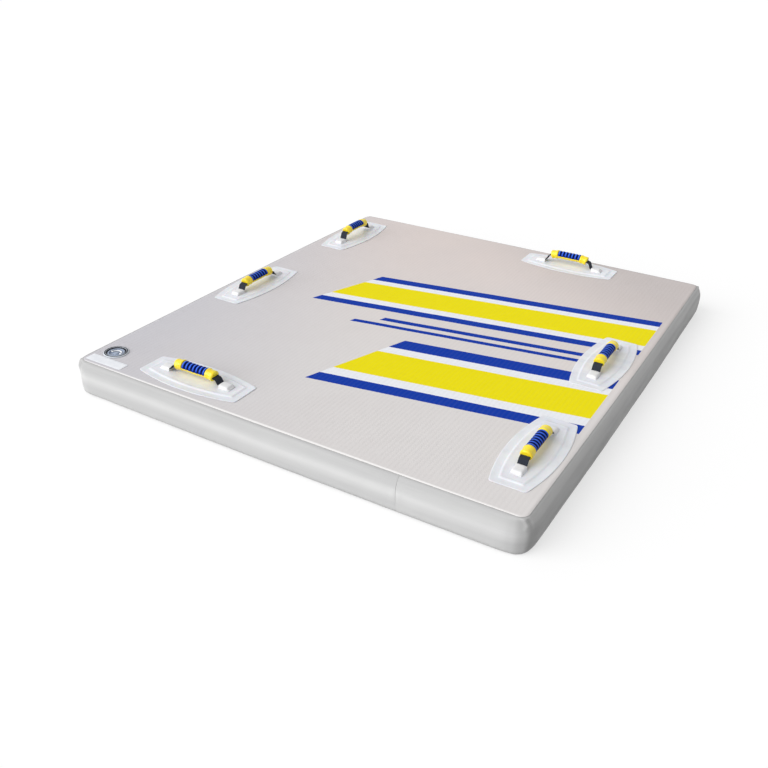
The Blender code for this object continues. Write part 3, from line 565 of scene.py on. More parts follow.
@dataclass(frozen=True)
class WallCloth(CoatedCloth):
    """The side band: long soft streaks that run with the band, from how it was drawn round.

    Attributes:
        tall: the height that the painted tones below are shares of.
        painted_tones: (share of the height, tone) pairs of painted light: a painted highlight round the belt,
            and painted shade over the shoulder.
        shaded_side_tones: the same for the right-hand side, painted greyer all over as shade.
        turn_x: between which X it passes over to those.
        dust: the colour that the band darkens to towards the floor.
    """

    tall: float = 0.102
    painted_tones: tuple = ((0.0, 0.86), (0.19, 0.85), (0.34, 0.83), (0.42, 0.865), (0.50, 0.91), (0.565, 0.945),
                    (0.625, 0.93), (0.68, 0.87), (0.73, 0.81), (0.785, 0.745), (0.84, 0.69), (0.90, 0.645),
                    (0.96, 0.655), (1.0, 0.73))
    shaded_side_tones: tuple = ((0.0, 0.56), (0.30, 0.53), (0.50, 0.56), (0.60, 0.57), (0.70, 0.60), (0.77, 0.615),
                         (0.81, 0.655), (0.85, 0.715), (0.92, 0.715), (0.955, 0.65), (0.975, 0.51), (1.0, 0.55))
    turn_x: Pair = (0.600, 0.640)
    dust: Colour = (0.42, 0.41, 0.40)

    def streaks(self, desk: NodeDesk, scale: Colour, detail: float) -> Socket:
        """Clouds drawn out along the band."""
        return desk.noise(desk.scaled(desk.coords("UV"), scale), 1.0, detail)

    def base(self, desk: NodeDesk) -> Socket:
        """The colour: clouds stretched along the band, with painted light and shade by height, and darker
        towards the floor.

        Args:
            desk: the material's nodes.

        Returns:
            The colour's socket.
        """
        streaks = self.streaks(desk, (2.0, 34.0, 1.0), 4.0)
        clouded = desk.mix(desk.span(streaks, 0.3, 0.72), self.colour, self.second)
        # Painted light: a painted highlight round the belt, painted shade over the shoulder, and painted shade
        # all over the right-hand side.
        height = desk.along(ALONG_Z)
        share = desk.math("MULTIPLY", height, 1 / self.tall)
        ramps = (desk.ramp(share, [(place, (tone, tone, tone, 1.0)) for place, tone in painted_tones])
                 for painted_tones in (self.painted_tones, self.shaded_side_tones))
        painted_shading = desk.mix(self.shaded_side(desk), *(ramp.outputs["Color"] for ramp in ramps))
        clouded = desk.mix(1.0, clouded, painted_shading, "MULTIPLY")
        # Darker towards the floor.
        return desk.mix(desk.span(height, 0.0, 0.016, 0.12, 0.0), clouded, self.dust)

    def shaded_side(self, desk: NodeDesk) -> Socket:
        """1 on the right-hand side, which is painted in shade, and 0 elsewhere, passing over at the middle of
        the front right corner.

        Args:
            desk: the material's nodes.

        Returns:
            The share.
        """
        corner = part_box("deck_pad")[0].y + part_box("deck_pad")[1].x
        past = desk.span(desk.along((1.0, 1.0, 0.0)), corner - 0.002, corner + 0.024)
        return desk.math("MULTIPLY", past, desk.span(desk.along(ALONG_X), *self.turn_x))

    def gloss(self, desk: NodeDesk) -> Socket:
        """Gloss that changes in the same long streaks."""
        streaks = self.streaks(desk, (5.0, 60.0, 1.0), 3.0)
        return desk.span(streaks, 0.3, 0.7, self.roughness - 0.07, self.roughness + 0.08)


class Ink(Enum):
    """The print's inks, and bare deck, which has none."""

    BARE = (0.0, 0.0, 0.0, 0.0)
    BLUE = (0.006, 0.044, 0.385, 1.0)
    WHITE = (0.865, 0.880, 0.920, 1.0)
    YELLOW = (0.880, 0.765, 0.006, 1.0)


@dataclass(frozen=True)
class DeckPrint:
    """Generic straight stripes over the right-hand part of the deck, each cut off on the slant.

    Attributes:
        heading_deg: the way the stripes run, from +X.
        low: the first stripe's edge, measured square to that way from the deck's middle.
        stripes: (width, ink, start) from there on; start is how far back along its way it begins.
        slant: how much further each metre square to the stripes begins.
        rim: the plain margin left at the right edge.
        margin: how much bare deck the ink's scale holds on either side of the stripes.
        lift: what is added to a start so that it can be held in a colour, which is never negative.
    """

    heading_deg: float = 10.0
    low: float = -0.490
    stripes: tuple = (
        (0.045, Ink.BLUE, 0.10), (0.038, Ink.WHITE, 0.10), (0.140, Ink.YELLOW, 0.10), (0.038, Ink.WHITE, 0.10),
        (0.055, Ink.BLUE, 0.10), (0.066, Ink.BARE, 0.0), (0.020, Ink.BLUE, -0.14), (0.022, Ink.BARE, 0.0),
        (0.020, Ink.BLUE, -0.08), (0.052, Ink.BARE, 0.0), (0.034, Ink.BLUE, -0.38), (0.034, Ink.WHITE, -0.38),
        (0.122, Ink.YELLOW, -0.38), (0.034, Ink.WHITE, -0.38), (0.036, Ink.BLUE, -0.38),
    )
    slant: float = 0.55
    rim: float = 0.024
    margin: float = 0.02
    lift: float = 0.5

    def lay(self, desk: NodeDesk, ground: Wire) -> Socket:
        """The print over a ground colour.

        A point's distance square to the stripes picks the ink and the stripe's start from two stepped
        ramps. Its distance along them is then compared with that start.

        Args:
            desk: the material's nodes.
            ground: the bare deck's colour.

        Returns:
            The printed colour.
        """
        heading = math.radians(self.heading_deg)
        square = desk.along((-math.sin(heading), math.cos(heading), 0.0))
        along = desk.along((math.cos(heading), math.sin(heading), 0.0))
        width = sum(stripe[0] for stripe in self.stripes)
        share = desk.span(square, self.low - self.margin, self.low + width + self.margin, soft=False)
        inks, starts = [(0.0, Ink.BARE.value)], [(0.0, (1.0, 1.0, 1.0, 1.0))]
        reached = self.margin
        for size, ink, start in self.stripes:
            mark = reached / (width + 2 * self.margin)
            inks.append((mark, ink.value))
            starts.append((mark, (start + self.lift,) * 3 + (1.0,)))
            reached += size
        inks.append((reached / (width + 2 * self.margin), Ink.BARE.value))
        ink = desk.ramp(share, inks, "CONSTANT")
        start = desk.math("SUBTRACT", desk.ramp(share, starts, "CONSTANT").outputs["Color"], self.lift)
        begun = desk.math("GREATER_THAN", desk.math("MULTIPLY_ADD", square, -self.slant, along), start)
        inside = desk.math("LESS_THAN", desk.along(ALONG_X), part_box("deck_pad")[1].x - self.rim)
        cover = desk.math("MULTIPLY", desk.math("MULTIPLY", begun, inside), ink.outputs["Alpha"])
        return desk.mix(cover, ground, ink.outputs["Color"])


@dataclass(frozen=True)
class DeckCloth(CoatedCloth):
    """The deck: pale coated cloth with close grooves that run its length, and the print on it.

    Attributes:
        rear: painted light, the warm tint that it passes to at the rear.
        corner: painted shade, the darker tint towards the rear right corner.
        cloudy: the tint of its clouds.
        groove_tone: the darker colour in the grooves.
        rim: the painted highlight along the front edge, where the light rakes it.
        printed: the print.
    """

    rear: Colour = (0.748, 0.668, 0.640)
    corner: Colour = (0.545, 0.505, 0.498)
    cloudy: Colour = (0.66, 0.62, 0.62)
    groove_tone: Colour = (0.25, 0.23, 0.24)
    rim: Colour = (0.90, 0.885, 0.875)
    printed: DeckPrint = DeckPrint()

    def grooves(self, desk: NodeDesk) -> Socket:
        """1 in a groove and 0 between grooves, where cos^4 of half the phase is narrow enough to be one."""
        return desk.math("POWER", desk.waves(desk.along(ALONG_X), GROOVE_PITCH), 2.0)

    def base(self, desk: NodeDesk) -> Socket:
        """Painted light and shade by place, the print, darker grooves and a painted highlight along the front
        edge.

        Args:
            desk: the material's nodes.

        Returns:
            The colour.
        """
        # Painted light and shade by place: warmer towards the rear, a cooler grey towards the left, and darker
        # towards the rear right corner.
        tint = desk.mix(desk.span(desk.along(ALONG_Y), -0.55, 0.75), self.colour, self.rear)
        tint = desk.mix(desk.span(desk.along((-1.0, -0.35, 0.0)), 0.05, 0.95), tint, self.second)
        tint = desk.mix(desk.span(desk.along((0.6, 0.8, 0.0)), 0.35, 0.90, 0.0, 0.75), tint, self.corner)
        clouds = desk.noise(desk.coords(), 5.0, 4.0)
        tint = desk.mix(desk.span(clouds, 0.35, 0.75, 0.0, 0.20), tint, self.cloudy)
        printed = self.printed.lay(desk, tint)
        # Darker in the grooves.
        groove_toned = desk.mix(desk.math("MULTIPLY", self.grooves(desk), 0.04), printed, self.groove_tone)
        # A painted highlight along the front edge, where the light rakes it.
        front = -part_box("deck_pad")[0].y
        edge = desk.span(desk.along((0.0, -1.0, 0.0)), front - 0.0080, front - 0.0045, 0.0, 0.8)
        return desk.mix(edge, groove_toned, self.rim)

    def relief(self, desk: NodeDesk) -> Socket:
        """Fine cross ribs between the grooves, over a pebbled coating."""
        fine = desk.bump(desk.waves(desk.along(ALONG_Y), self.thread), self.thread_depth)
        return desk.bump(desk.noise(desk.coords(), 420.0), self.depth, fine)


@dataclass(frozen=True)
class MilkyPatch(Finish):
    """Moulded milky PVC, a little clearer than the deck and faintly tinted by it from below."""

    def base(self, desk: NodeDesk) -> Socket:
        """Soft clouds, with a trace of the deck's print, as thin milky plastic lets it through."""
        milky = super().base(desk)
        return desk.mix(0.05, milky, DeckPrint().lay(desk, milky))


@dataclass(frozen=True)
class Webbing(Finish):
    """Flat woven webbing, its pattern on the strap's own UV map, in metres along and across it.

    Attributes:
        pick: the weave's pitch along the strap.
        end: its pitch across.
    """

    pick: float = 0.0021
    end: float = 0.0016

    def weave(self, desk: NodeDesk) -> Socket:
        """Threads in a plain weave: the product of two cosines, made positive."""
        waves = (desk.math("COSINE", desk.math("MULTIPLY", desk.along(way, "UV"), TURN / pitch))
                 for way, pitch in ((ALONG_X, self.pick), (ALONG_Y, self.end)))
        return desk.math("MULTIPLY_ADD", desk.math("MULTIPLY", *waves), 0.5, 0.5)

    def base(self, desk: NodeDesk) -> Socket:
        """Threads that catch the light over dark gaps."""
        return desk.mix(self.weave(desk), self.colour, self.second)

    def relief(self, desk: NodeDesk) -> Socket:
        """The weave's relief under a little fuzz."""
        woven = desk.bump(self.weave(desk), self.depth)
        return desk.bump(desk.noise(desk.coords(), self.grain, 2.0), self.depth / 3, woven)


@dataclass(frozen=True)
class RibbedRubber(Finish):
    """Soft ribbed moulding, by its UV map, whose u counts the ribs and whose v runs from rim to crown.

    Attributes:
        crest: the colour of the painted highlight on the ribs' crests.
        gap: the colour of the painted shade between two ribs and along the insert's edges.
    """

    crest: Colour = (0.110, 0.270, 0.950)
    gap: Colour = (0.0005, 0.002, 0.026)

    def base(self, desk: NodeDesk) -> Socket:
        """The colour: painted shade, nearly black, between two ribs, where u is whole, and a painted highlight
        on their crests.

        Args:
            desk: the material's nodes.

        Returns:
            The colour.
        """
        rib = desk.waves(desk.along(ALONG_X, "UV"), 1.0)
        crown = desk.along(ALONG_Y, "UV")
        # A painted highlight on the crests, strongest over the crown.
        crest = desk.math("MULTIPLY", desk.span(rib, 0.20, 0.0), desk.span(crown, 0.15, 0.60, 0.15, 0.80))
        crest_highlighted = desk.mix(crest, super().base(desk), self.crest)
        # Painted shade between two ribs and along the insert's edges.
        dark = desk.math("MAXIMUM", desk.span(rib, 0.20, 0.80), desk.span(crown, 0.0, 0.22, 0.95, 0.0))
        return desk.mix(desk.math("MULTIPLY", dark, 0.97), crest_highlighted, self.gap)


DECK = DeckCloth("deck_printed", (0.752, 0.726, 0.718), (0.622, 0.612, 0.650), 0.72, shine=0.05,
                 depth=0.00022, thread=0.0034, thread_depth=0.00012)
WALL = WallCloth("wall_cloth", (0.780, 0.780, 0.778), (0.722, 0.722, 0.724), 0.45, shine=0.22,
                 depth=0.0006, thread=0.0013, thread_depth=0.00002, follows="UV")
SKIN = CoatedCloth("skin_cloth", (0.640, 0.640, 0.645), (0.585, 0.590, 0.600), 0.45, depth=0.0005)
YARN = CoatedCloth("spacer_yarn", (0.830, 0.820, 0.780), (0.740, 0.725, 0.680), 0.85, thread=0.0030,
                   thread_depth=0.0004)
LABEL = Finish("label_vinyl", (0.870, 0.890, 0.930), (0.815, 0.840, 0.890), 0.35, cloud=55.0)
PATCH = MilkyPatch("patch_milky", (0.815, 0.828, 0.872), (0.760, 0.770, 0.815), 0.34, cloud=24.0,
                   depth=0.00005, coat=0.10, subsurface=0.10, shine=0.30)
KEEPER = Finish("keeper_plastic", (0.800, 0.803, 0.815), (0.745, 0.748, 0.765), 0.38, cloud=70.0)
WEBBING = Webbing("webbing_woven", (0.005, 0.006, 0.009), (0.046, 0.055, 0.078), 0.78, depth=0.00030, shine=0.2)
GRIP = Finish("grip_yellow", (0.950, 0.770, 0.014), (0.910, 0.670, 0.010), 0.36, cloud=60.0, depth=0.00008,
              coat=0.55, subsurface=0.05, shine=0.3)
INSERT = RibbedRubber("insert_blue", (0.007, 0.054, 0.520), (0.005, 0.042, 0.440), 0.30, cloud=80.0,
                      depth=0.00003, shine=0.04)
VALVE = Finish("valve_plastic", (0.600, 0.640, 0.690), (0.540, 0.580, 0.635), 0.28, cloud=90.0)
CAP = Finish("cap_plastic", (0.330, 0.390, 0.500), (0.285, 0.340, 0.450), 0.26, cloud=90.0)
NECK = Finish("neck_plastic", (0.010, 0.013, 0.024), (0.006, 0.008, 0.016), 0.40, cloud=90.0, shine=0.12)
BAIL = Finish("bail_plastic", (0.920, 0.930, 0.945), (0.860, 0.880, 0.905), 0.28, cloud=90.0)
RUBBER = Finish("seal_rubber", (0.008, 0.009, 0.015), (0.013, 0.014, 0.021), 0.68, cloud=60.0, depth=0.00012,
                shine=0.10)
STEEL = Finish("spring_steel", (0.620, 0.620, 0.630), (0.540, 0.540, 0.555), 0.24, metallic=1.0, grain=2600.0)
# Darker than the cloth, as painted shade along the seam between deck and wall.
WELD_SHADE = Finish("weld_bead_shade", (0.460, 0.450, 0.450), (0.380, 0.375, 0.375), 0.50, cloud=120.0, shine=0.2)


# Objects


def new_mesh(name: str, shape: Shape, turn_out: bool = True) -> bpy.types.Mesh:
    """A mesh from points and faces.

    Args:
        name: its name.
        shape: its points and faces.
        turn_out: whether its faces are turned outwards here, as on every closed body.

    Returns:
        The mesh.
    """
    mesh = bpy.data.meshes.new(name)
    mesh.from_pydata(shape[0], [], shape[1])
    if turn_out:
        bm = bmesh.new()
        bm.from_mesh(mesh)
        bmesh.ops.recalc_face_normals(bm, faces=bm.faces)
        bm.to_mesh(mesh)
        bm.free()
    return mesh


def placed(name: str, data: bpy.types.ID) -> bpy.types.Object:
    """A new object in the scene.

    Args:
        name: its name.
        data: its mesh, lamp or camera.

    Returns:
        The object.
    """
    made = bpy.data.objects.new(name, data)
    bpy.context.scene.collection.objects.link(made)
    return made


def add_piece(name: str, shape: Shape, finish: Finish, body: str | None = "hull",
              stands_for: tuple[str, ...] = (), sharp_deg: float = 32.0,
              uv: np.ndarray | None = None, turn_out: bool = True) -> bpy.types.Object:
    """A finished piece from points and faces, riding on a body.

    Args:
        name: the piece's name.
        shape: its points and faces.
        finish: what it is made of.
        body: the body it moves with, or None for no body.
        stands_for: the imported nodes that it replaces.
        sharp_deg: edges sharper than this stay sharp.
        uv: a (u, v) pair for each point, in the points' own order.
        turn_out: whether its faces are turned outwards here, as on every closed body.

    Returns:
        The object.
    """
    mesh = new_mesh(name, shape, turn_out)
    if uv is not None:
        corners = np.empty(len(mesh.loops), np.int32)
        mesh.loops.foreach_get("vertex_index", corners)
        values = uv.reshape(-1, 2)[corners].astype(np.float32).ravel()
        mesh.uv_layers.new(name="run").data.foreach_set("uv", values)
    mesh.shade_smooth()
    mesh.set_sharp_from_angle(angle=math.radians(sharp_deg))
    made = placed(name, mesh)
    mesh.materials.append(finish.material())
    if body:
        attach(made, body)
    if stands_for:
        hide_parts(*stands_for)
    LOG.info("%s on %s: %d points", name, body or "two bodies", len(shape[0]))
    return made


def bore_out(piece: bpy.types.Object, shape: Shape) -> None:
    """Cuts a closed shape out of a piece for good.

    Args:
        piece: the piece that is cut.
        shape: the cutter's points and faces.
    """
    cutter = placed("bore", new_mesh("bore", shape))
    step = piece.modifiers.new("bore", "BOOLEAN")
    step.operation = "DIFFERENCE"
    step.solver = "EXACT"
    step.object = cutter
    evaluated = piece.evaluated_get(bpy.context.evaluated_depsgraph_get())
    cut = bpy.data.meshes.new_from_object(evaluated)
    piece.modifiers.clear()
    piece.data = cut
    bpy.data.objects.remove(cutter)


# Air platform


@dataclass
class AirPlatform:
    """The inflated body: the deck sheet, its weld, the side band, the bottom sheet and the label.

    Attributes:
        corner: radius of the seam line's corners.
        bow: how far each straight side bows out.
        bulge: how far the wall swells past the seam.
        tucks: how much of that is tucked in at each corner's middle, and how much more low on the wall,
            anticlockwise from the front right corner.
        tuck_runs: half widths of those two tucks along the seam.
        power: the wall section's squareness.
        lap: how far the band laps over and under.
        pad: the deck sheet's thickness at its rim.
        band_thick: the band's thickness.
        groove_depth: depth of the deck's grooves.
        rim: plain margin round the deck.
        edge_slope: how wide the deck sheet's pressed-down edge is, and how far it drops.
        close_run: how far in from the deck's edge its closer rows of points reach.
        joints: X of the band's butt joints at the front and at the rear.
        deck_wave: unevenness of the deck.
        bottom_wave: unevenness of the bottom sheet.
        wall_waves: the wall's long and short waves along its run, by the factor on the other coordinate.
        drawn_rows: height and number of the rows drawn in by the spacer yarns, and how they wander.
        lean: how far each corner's ridge leans over the wall's height, and where it starts.
        ridge: that ridge's height, place and half width, and between which shares of the wall it fades.
        crumple: the crumpled end of the ridge.
        notch: the hollow beside it.
        blister: the small blister beside each butt joint.
        bead: radius of the weld, its height over the sheet's underside, how it wanders and how it swells.
        half: half the deck's size in X and in Y, less the bow.
        top: the deck's level.
    """

    corner: float = 0.022
    bow: float = 0.004
    bulge: float = 0.020
    tucks: tuple[Pair, ...] = ((0.42, 0.16), (0.05, 0.0), (0.30, 0.05), (0.34, -0.16))
    tuck_runs: Pair = (0.019, 0.042)
    power: float = 2.5
    lap: float = 0.018
    pad: float = 0.0018
    band_thick: float = 0.0010
    groove_depth: float = 0.00024
    rim: float = 0.014
    edge_slope: Pair = (0.0052, 0.0015)
    close_run: float = 0.0075
    joints: Pair = (0.362, -0.130)
    deck_wave: Ripple = Ripple(0.00016, 0.16, 3)
    bottom_wave: Ripple = Ripple(0.00025, 0.12, 31)
    wall_waves: tuple = ((0.25, Ripple(0.0007, 0.34, 11)), (0.10, Ripple(0.00022, 0.055, 12)))
    drawn_rows: tuple = (0.0005, 2.6, Ripple(0.04, 0.5, 13))
    lean: Pair = (0.030, 0.10)
    ridge: tuple[float, ...] = (0.0046, -0.0020, 0.0042, 0.40, 0.26)
    crumple: Fold = Fold(0.0014, (-0.0070, 0.0035), (0.36, 0.040))
    notch: Fold = Fold(0.0030, (0.0046, 0.0036), (0.24, 0.10))
    blister: Fold = Fold(0.0012, (0.0068, 0.0040), (0.47, 0.05))
    bead: tuple = (0.00050, 0.00025, Ripple(0.00012, 0.02, 21), Ripple(0.00012, 0.03, 22))
    half: Pair = field(init=False)
    top: float = field(init=False)

    def __post_init__(self) -> None:
        """Reads the deck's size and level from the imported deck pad."""
        low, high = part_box("deck_pad")
        self.half = ((high.x - low.x) / 2 - self.bow, (high.y - low.y) / 2 - self.bow)
        self.top = high.z

    def bowed(self, place: np.ndarray, half: float) -> np.ndarray:
        """How far a side stands out along it: bow (1 - (place / run)^2), and nothing in a corner."""
        return self.bow * np.clip(1 - (place / (half - self.corner)) ** 2, 0.0, None)

    def stations(self, half: float, step: float) -> np.ndarray:
        """Places across the deck: even steps inside, and closer ones in its margin for the edge's slope.

        Args:
            half: half the deck's size that way.
            step: the even steps' size.

        Returns:
            The places, from -half to half.
        """
        insets = np.array([0.0, 0.0002, 0.0006, 0.0012, 0.0020, 0.0030, 0.0042, 0.0056])
        inner = half - self.close_run
        even = np.linspace(-inner, inner, 2 * round(inner / step) + 1)
        return np.concatenate([-(half - insets), even, (half - insets)[::-1]])

    def deck_surface(self, step_x: float, rows: int) -> tuple[np.ndarray, np.ndarray, np.ndarray]:
        """The plan of the deck as a grid whose lines run along it, and each point's distance to the edge.

        A column at x reaches up to the seam line there: half the length plus the bow, or in a corner the
        length less its radius r plus sqrt(r^2 - (|x| - run)^2). Only the plain rim is stretched by the
        side's own bow, so that the grooves stay straight. The distance is that to a rounded rectangle.

        Args:
            step_x: the columns' pitch.
            rows: how many rows.

        Returns:
            X, Y and the distances, each in the shape (column, row).
        """
        half_x, half_y = self.half
        run_x, run_y = half_x - self.corner, half_y - self.corner
        flat_x = self.stations(half_x, step_x)[:, None]
        over = np.clip(np.abs(flat_x) - run_x, 0.0, self.corner)
        reach = half_y - self.corner + np.sqrt(self.corner ** 2 - over ** 2)
        share = self.stations(half_y, half_y / rows)[None, :]
        inset = half_y - np.abs(share)
        drawn = np.abs(share) * (reach - self.close_run) / (half_y - self.close_run)
        near_end = inset < self.close_run - 0.001
        flat_y = np.sign(share) * np.where(near_end, reach - inset, drawn)
        side = smooth(half_x - self.rim, half_x, np.abs(flat_x))
        x = flat_x + np.sign(flat_x) * side * self.bowed(flat_y, half_y)
        y = flat_y * (1 + self.bowed(flat_x, half_x) / half_y)
        out_x, out_y = np.abs(flat_x) - run_x, np.abs(flat_y) - run_y
        outside = np.hypot(np.clip(out_x, 0, None), np.clip(out_y, 0, None))
        return x, y, self.corner - (outside + np.minimum(np.maximum(out_x, out_y), 0))

    def deck_sheet(self) -> None:
        """The deck's grooved sheet with a plain rim and a sloped edge, bored for the valve.

        The edge falls by drop = fall (1 - inside / slope)^1.4 over the last few millimetres, and a groove
        is depth (0.5 + 0.5 cos)^2 of the place across.
        """
        x, y, inside = self.deck_surface(GROOVE_PITCH / 6, 34)
        slope, fall = self.edge_slope
        drop = fall * np.clip(1 - inside / slope, 0.0, 1.0) ** 1.4
        groove = (0.5 + 0.5 * np.cos(TURN * x / GROOVE_PITCH)) ** 2
        inner = smooth(self.rim - 0.003, self.rim + 0.001, inside)
        uneven = self.deck_wave.tall * (1 + self.deck_wave.at(x, y)) * smooth(0.0, 0.03, inside)
        z = self.top - drop - self.groove_depth * groove * inner - uneven
        sheet = add_piece("deck_sheet", slab(points_of(x, y, z), self.top - self.pad), DECK,
                          stands_for=("deck_pad",))
        low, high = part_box("valve_ring")
        hole = (high.x - low.x) / 2 - 0.0040
        above, below = 0.11, 0.09
        cutter = [(0.0, above), (hole, above), (hole, below), (0.0, below)]
        bore_out(sheet, turned(cutter, box_middle(low, high)[:2], 64))

    def seam(self, corner_steps: int) -> tuple[np.ndarray, np.ndarray, np.ndarray, np.ndarray]:
        """The seam line anticlockwise from the middle of the front.

        Each side is straight but for its bow, and each corner is a quarter circle.

        Args:
            corner_steps: the steps in each corner.

        Returns:
            Its points, outward directions, distances along it, and how far each point is turned into a
            corner: 0 on a side and 1 at a corner's middle.
        """
        points, normals, cornering = [], [], []
        for number in range(5):
            angle = math.radians(90 * number - 90)
            out = np.array([round(math.cos(angle)), round(math.sin(angle))], float)
            along = np.array([-out[1], out[0]])
            far, length = self.half if number % 2 else self.half[::-1]
            run = length - self.corner
            start, stop = (0.0 if number == 0 else -run), (0.0 if number == 4 else run)
            place = np.linspace(start, stop, max(2, round((stop - start) / SEAM_STEP)))
            points.append(out * (far + self.bowed(place, length))[:, None] + along * place[:, None])
            normals.append(np.broadcast_to(out, (len(place), 2)))
            cornering.append(np.zeros(len(place)))
            if number < 4:
                turn = np.linspace(0, math.pi / 2, corner_steps + 1)[1:-1, None]
                spoke = out * np.cos(turn) + along * np.sin(turn)
                points.append(out * (far - self.corner) + along * run + spoke * self.corner)
                normals.append(spoke)
                cornering.append(np.sin(2 * turn[:, 0]))
        line = np.vstack(points)
        return line, np.vstack(normals), way_along(line), np.concatenate(cornering)

    def band_section(self, steps: int) -> np.ndarray:
        """The wall's section from the top lap to the bottom lap, as (out, height, share round the bulge).

        The bulge is a superellipse half the wall high: out = bulge cos^(2/p), height = half (1 + sin^(2/p)).

        Args:
            steps: steps round the bulge.

        Returns:
            The section's points.
        """
        half = (self.top - self.pad - CLEAR) / 2
        across, up = super_circle(np.linspace(math.pi / 2, -math.pi / 2, steps + 1), self.power)
        wall = points_of(self.bulge * across, half * (1 + up), np.linspace(0, 1, steps + 1))
        lap_out = np.linspace(-self.lap, -0.0015, 5)
        return np.vstack([points_of(lap_out, 2 * half, 0.0), wall, points_of(lap_out[::-1], 0.0, 1.0)])

    def pressed(self, run: np.ndarray, share: np.ndarray, past: np.ndarray) -> np.ndarray:
        """How far the wall stands out of its plain section.

        Long soft waves and drawn rows run all the way round. A ridge leans away below the seam at each
        corner and ends crumpled, and two small blisters lie where the lengths meet.

        Args:
            run: distances along the band.
            share: shares round the bulge.
            past: distances past the nearest corner's middle.

        Returns:
            The distance at each place.
        """
        soft = sum(wave.tall * wave.at(run, share * factor) for factor, wave in self.wall_waves)
        tall, rows, wander = self.drawn_rows
        drawn = tall * np.cos(TURN * (share * rows + wander.tall * wander.at(run, run)))
        slant, start = self.lean
        lean = past - slant * (share - start)
        ridge, centre, spread, gone, whole = self.ridge
        ridge = ridge * hump(centre, spread, lean) * smooth(gone, whole, share)
        pinch = ridge + self.crumple.at(lean, share) - self.notch.at(lean, share)
        ends = np.minimum(np.abs(run - run[0]), np.abs(run[-1] - run))
        blister = self.blister.at(ends, share) - 0.0002 * hump(0.0, 0.003, ends)
        on_wall = smooth(0.0, 0.06, share) * smooth(0.0, 0.06, 1 - share)
        return (soft + drawn + pinch + blister) * on_wall

    def band(self, name: str, first: float, last: float, node: str) -> None:
        """One length of the side band between two butt joints.

        The section is carried along the seam. At a corner the bulge is scaled by 1 less two bells, a tight
        one all the way down and a broad one low on the wall.

        Args:
            name: the piece's name.
            first: where along the seam it starts.
            last: where it ends, which may be past the end of the loop.
            node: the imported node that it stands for.
        """
        line, facing, gone, cornering = self.seam(36)
        total = gone[-1]
        places = np.concatenate([gone[:-1], gone[:-1] + total])
        keep = places[(places > first + 0.002) & (places < last - 0.002)]
        close = np.array([0.0, 0.0003, 0.0010])
        places = np.concatenate([first + close, keep, last - close[::-1]])
        looped = np.mod(places, total)
        x, y, out_x, out_y = (np.interp(looped, gone, values)[:, None] for values in (*line.T, *facing.T))
        past = looped[:, None] - gone[cornering > 0.999][None, :]
        nearest = np.argmin(np.abs(past), axis=1)
        past = np.take_along_axis(past, nearest[:, None], axis=1)
        tight, low = np.array(self.tucks)[nearest].T[:, :, None]
        section = self.band_section(46)
        out, height, share = section.T[:, None, :]
        run = places[:, None]
        tight_run, low_run = self.tuck_runs
        tuck = tight * hump(0.0, tight_run, past) + low * hump(0.0, low_run, past) * smooth(0.45, 0.95, share)
        reach = out - np.clip(out, 0.0, None) * tuck + self.pressed(run, share, past)
        points = points_of(x + out_x * reach, y + out_y * reach, height)
        piece = add_piece(name, sheet_grid(points[:, ::-1]), WALL, stands_for=(node,),
                          uv=points_of(run, share[:, ::-1] * 0.16), turn_out=False, sharp_deg=60.0)
        wall = piece.modifiers.new("wall", "SOLIDIFY")
        wall.thickness = self.band_thick
        wall.offset = -1.0
        wall.use_even_offset = True

    def bands(self) -> None:
        """Both lengths of the side band."""
        line, _, gone, _ = self.seam(36)
        rear = np.flatnonzero(np.abs(line[:, 1] - self.half[1] - self.bow) < 1e-3)
        at_front, at_rear = self.joints[0], np.interp(-self.joints[1], -line[rear, 0], gone[rear])
        half_gap = CLEAR / 2
        self.band("band_right", at_front + half_gap, at_rear - half_gap, "side_band_right")
        self.band("band_left", at_rear + half_gap, gone[-1] + at_front - half_gap, "side_band_left")

    def weld(self) -> None:
        """The thin bead of glue squeezed out between the deck sheet and the band, all the way round, coloured
        dark as painted shade along the seam.
        """
        line, facing, gone = (values[:-1] for values in self.seam(16)[:3])
        radius, above, wander, swell = self.bead
        offset = 0.0004 + wander.tall * wander.at(gone, gone)
        path = points_of(*(line + facing * offset[:, None]).T, self.top - self.pad + above)
        radii = radius + swell.tall * swell.at(gone, gone)
        add_piece("deck_edge_weld_shade", tube(path, radii, 8, wrap=True), WELD_SHADE)

    def bottom(self) -> None:
        """The bottom sheet inside the band's lap, drawn into shallow rows by the spacer yarns."""
        low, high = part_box("bottom_skin")
        half_x, half_y = (high.x - low.x) / 2, (high.y - low.y) / 2
        plan_x, plan_y, inside = self.deck_surface(0.0125, 60)
        x, y = plan_x * (half_x / (self.half[0] + self.bow)), plan_y * (half_y / (self.half[1] + self.bow))
        sag = self.bottom_wave.tall * (1 + self.bottom_wave.at(x, y)) * smooth(0.0, 0.05, inside)
        points, faces = slab(points_of(x, -y, -(low.z + sag)), -high.z)
        sheet = add_piece("bottom_sheet", (points * (1, -1, -1), faces), SKIN,
                          stands_for=("bottom_skin",))

    def label(self) -> None:
        """The bare white rectangle, its corners round and its edge pressed flat by the weld."""
        low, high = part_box("white_label_patch")
        width, length = high.x - low.x, high.y - low.y
        middle = np.array(box_middle(low, high)[:2])
        levels = ((0.0, 0.0), (0.0, 0.0003), (0.0004, 0.00045), (0.0020, 0.00045), (0.0026, 0.0006),
                  (0.0060, 0.0006), (0.0120, 0.00058))
        rings = []
        for inset, height in levels:
            outline = rounded_box(width - 2 * inset, length - 2 * inset, max(0.004 - inset, 0.0012), 12, 5)
            rings.append(points_of(*(outline + middle).T, low.z + height))
        sheet = add_piece("label_sheet", lofted(np.array(rings)), LABEL,
                          stands_for=("white_label_patch",))

    def build(self) -> None:
        """Makes every piece of the air platform."""
        for step in (self.deck_sheet, self.weld, self.bands, self.bottom, self.label):
            step()


# Handles


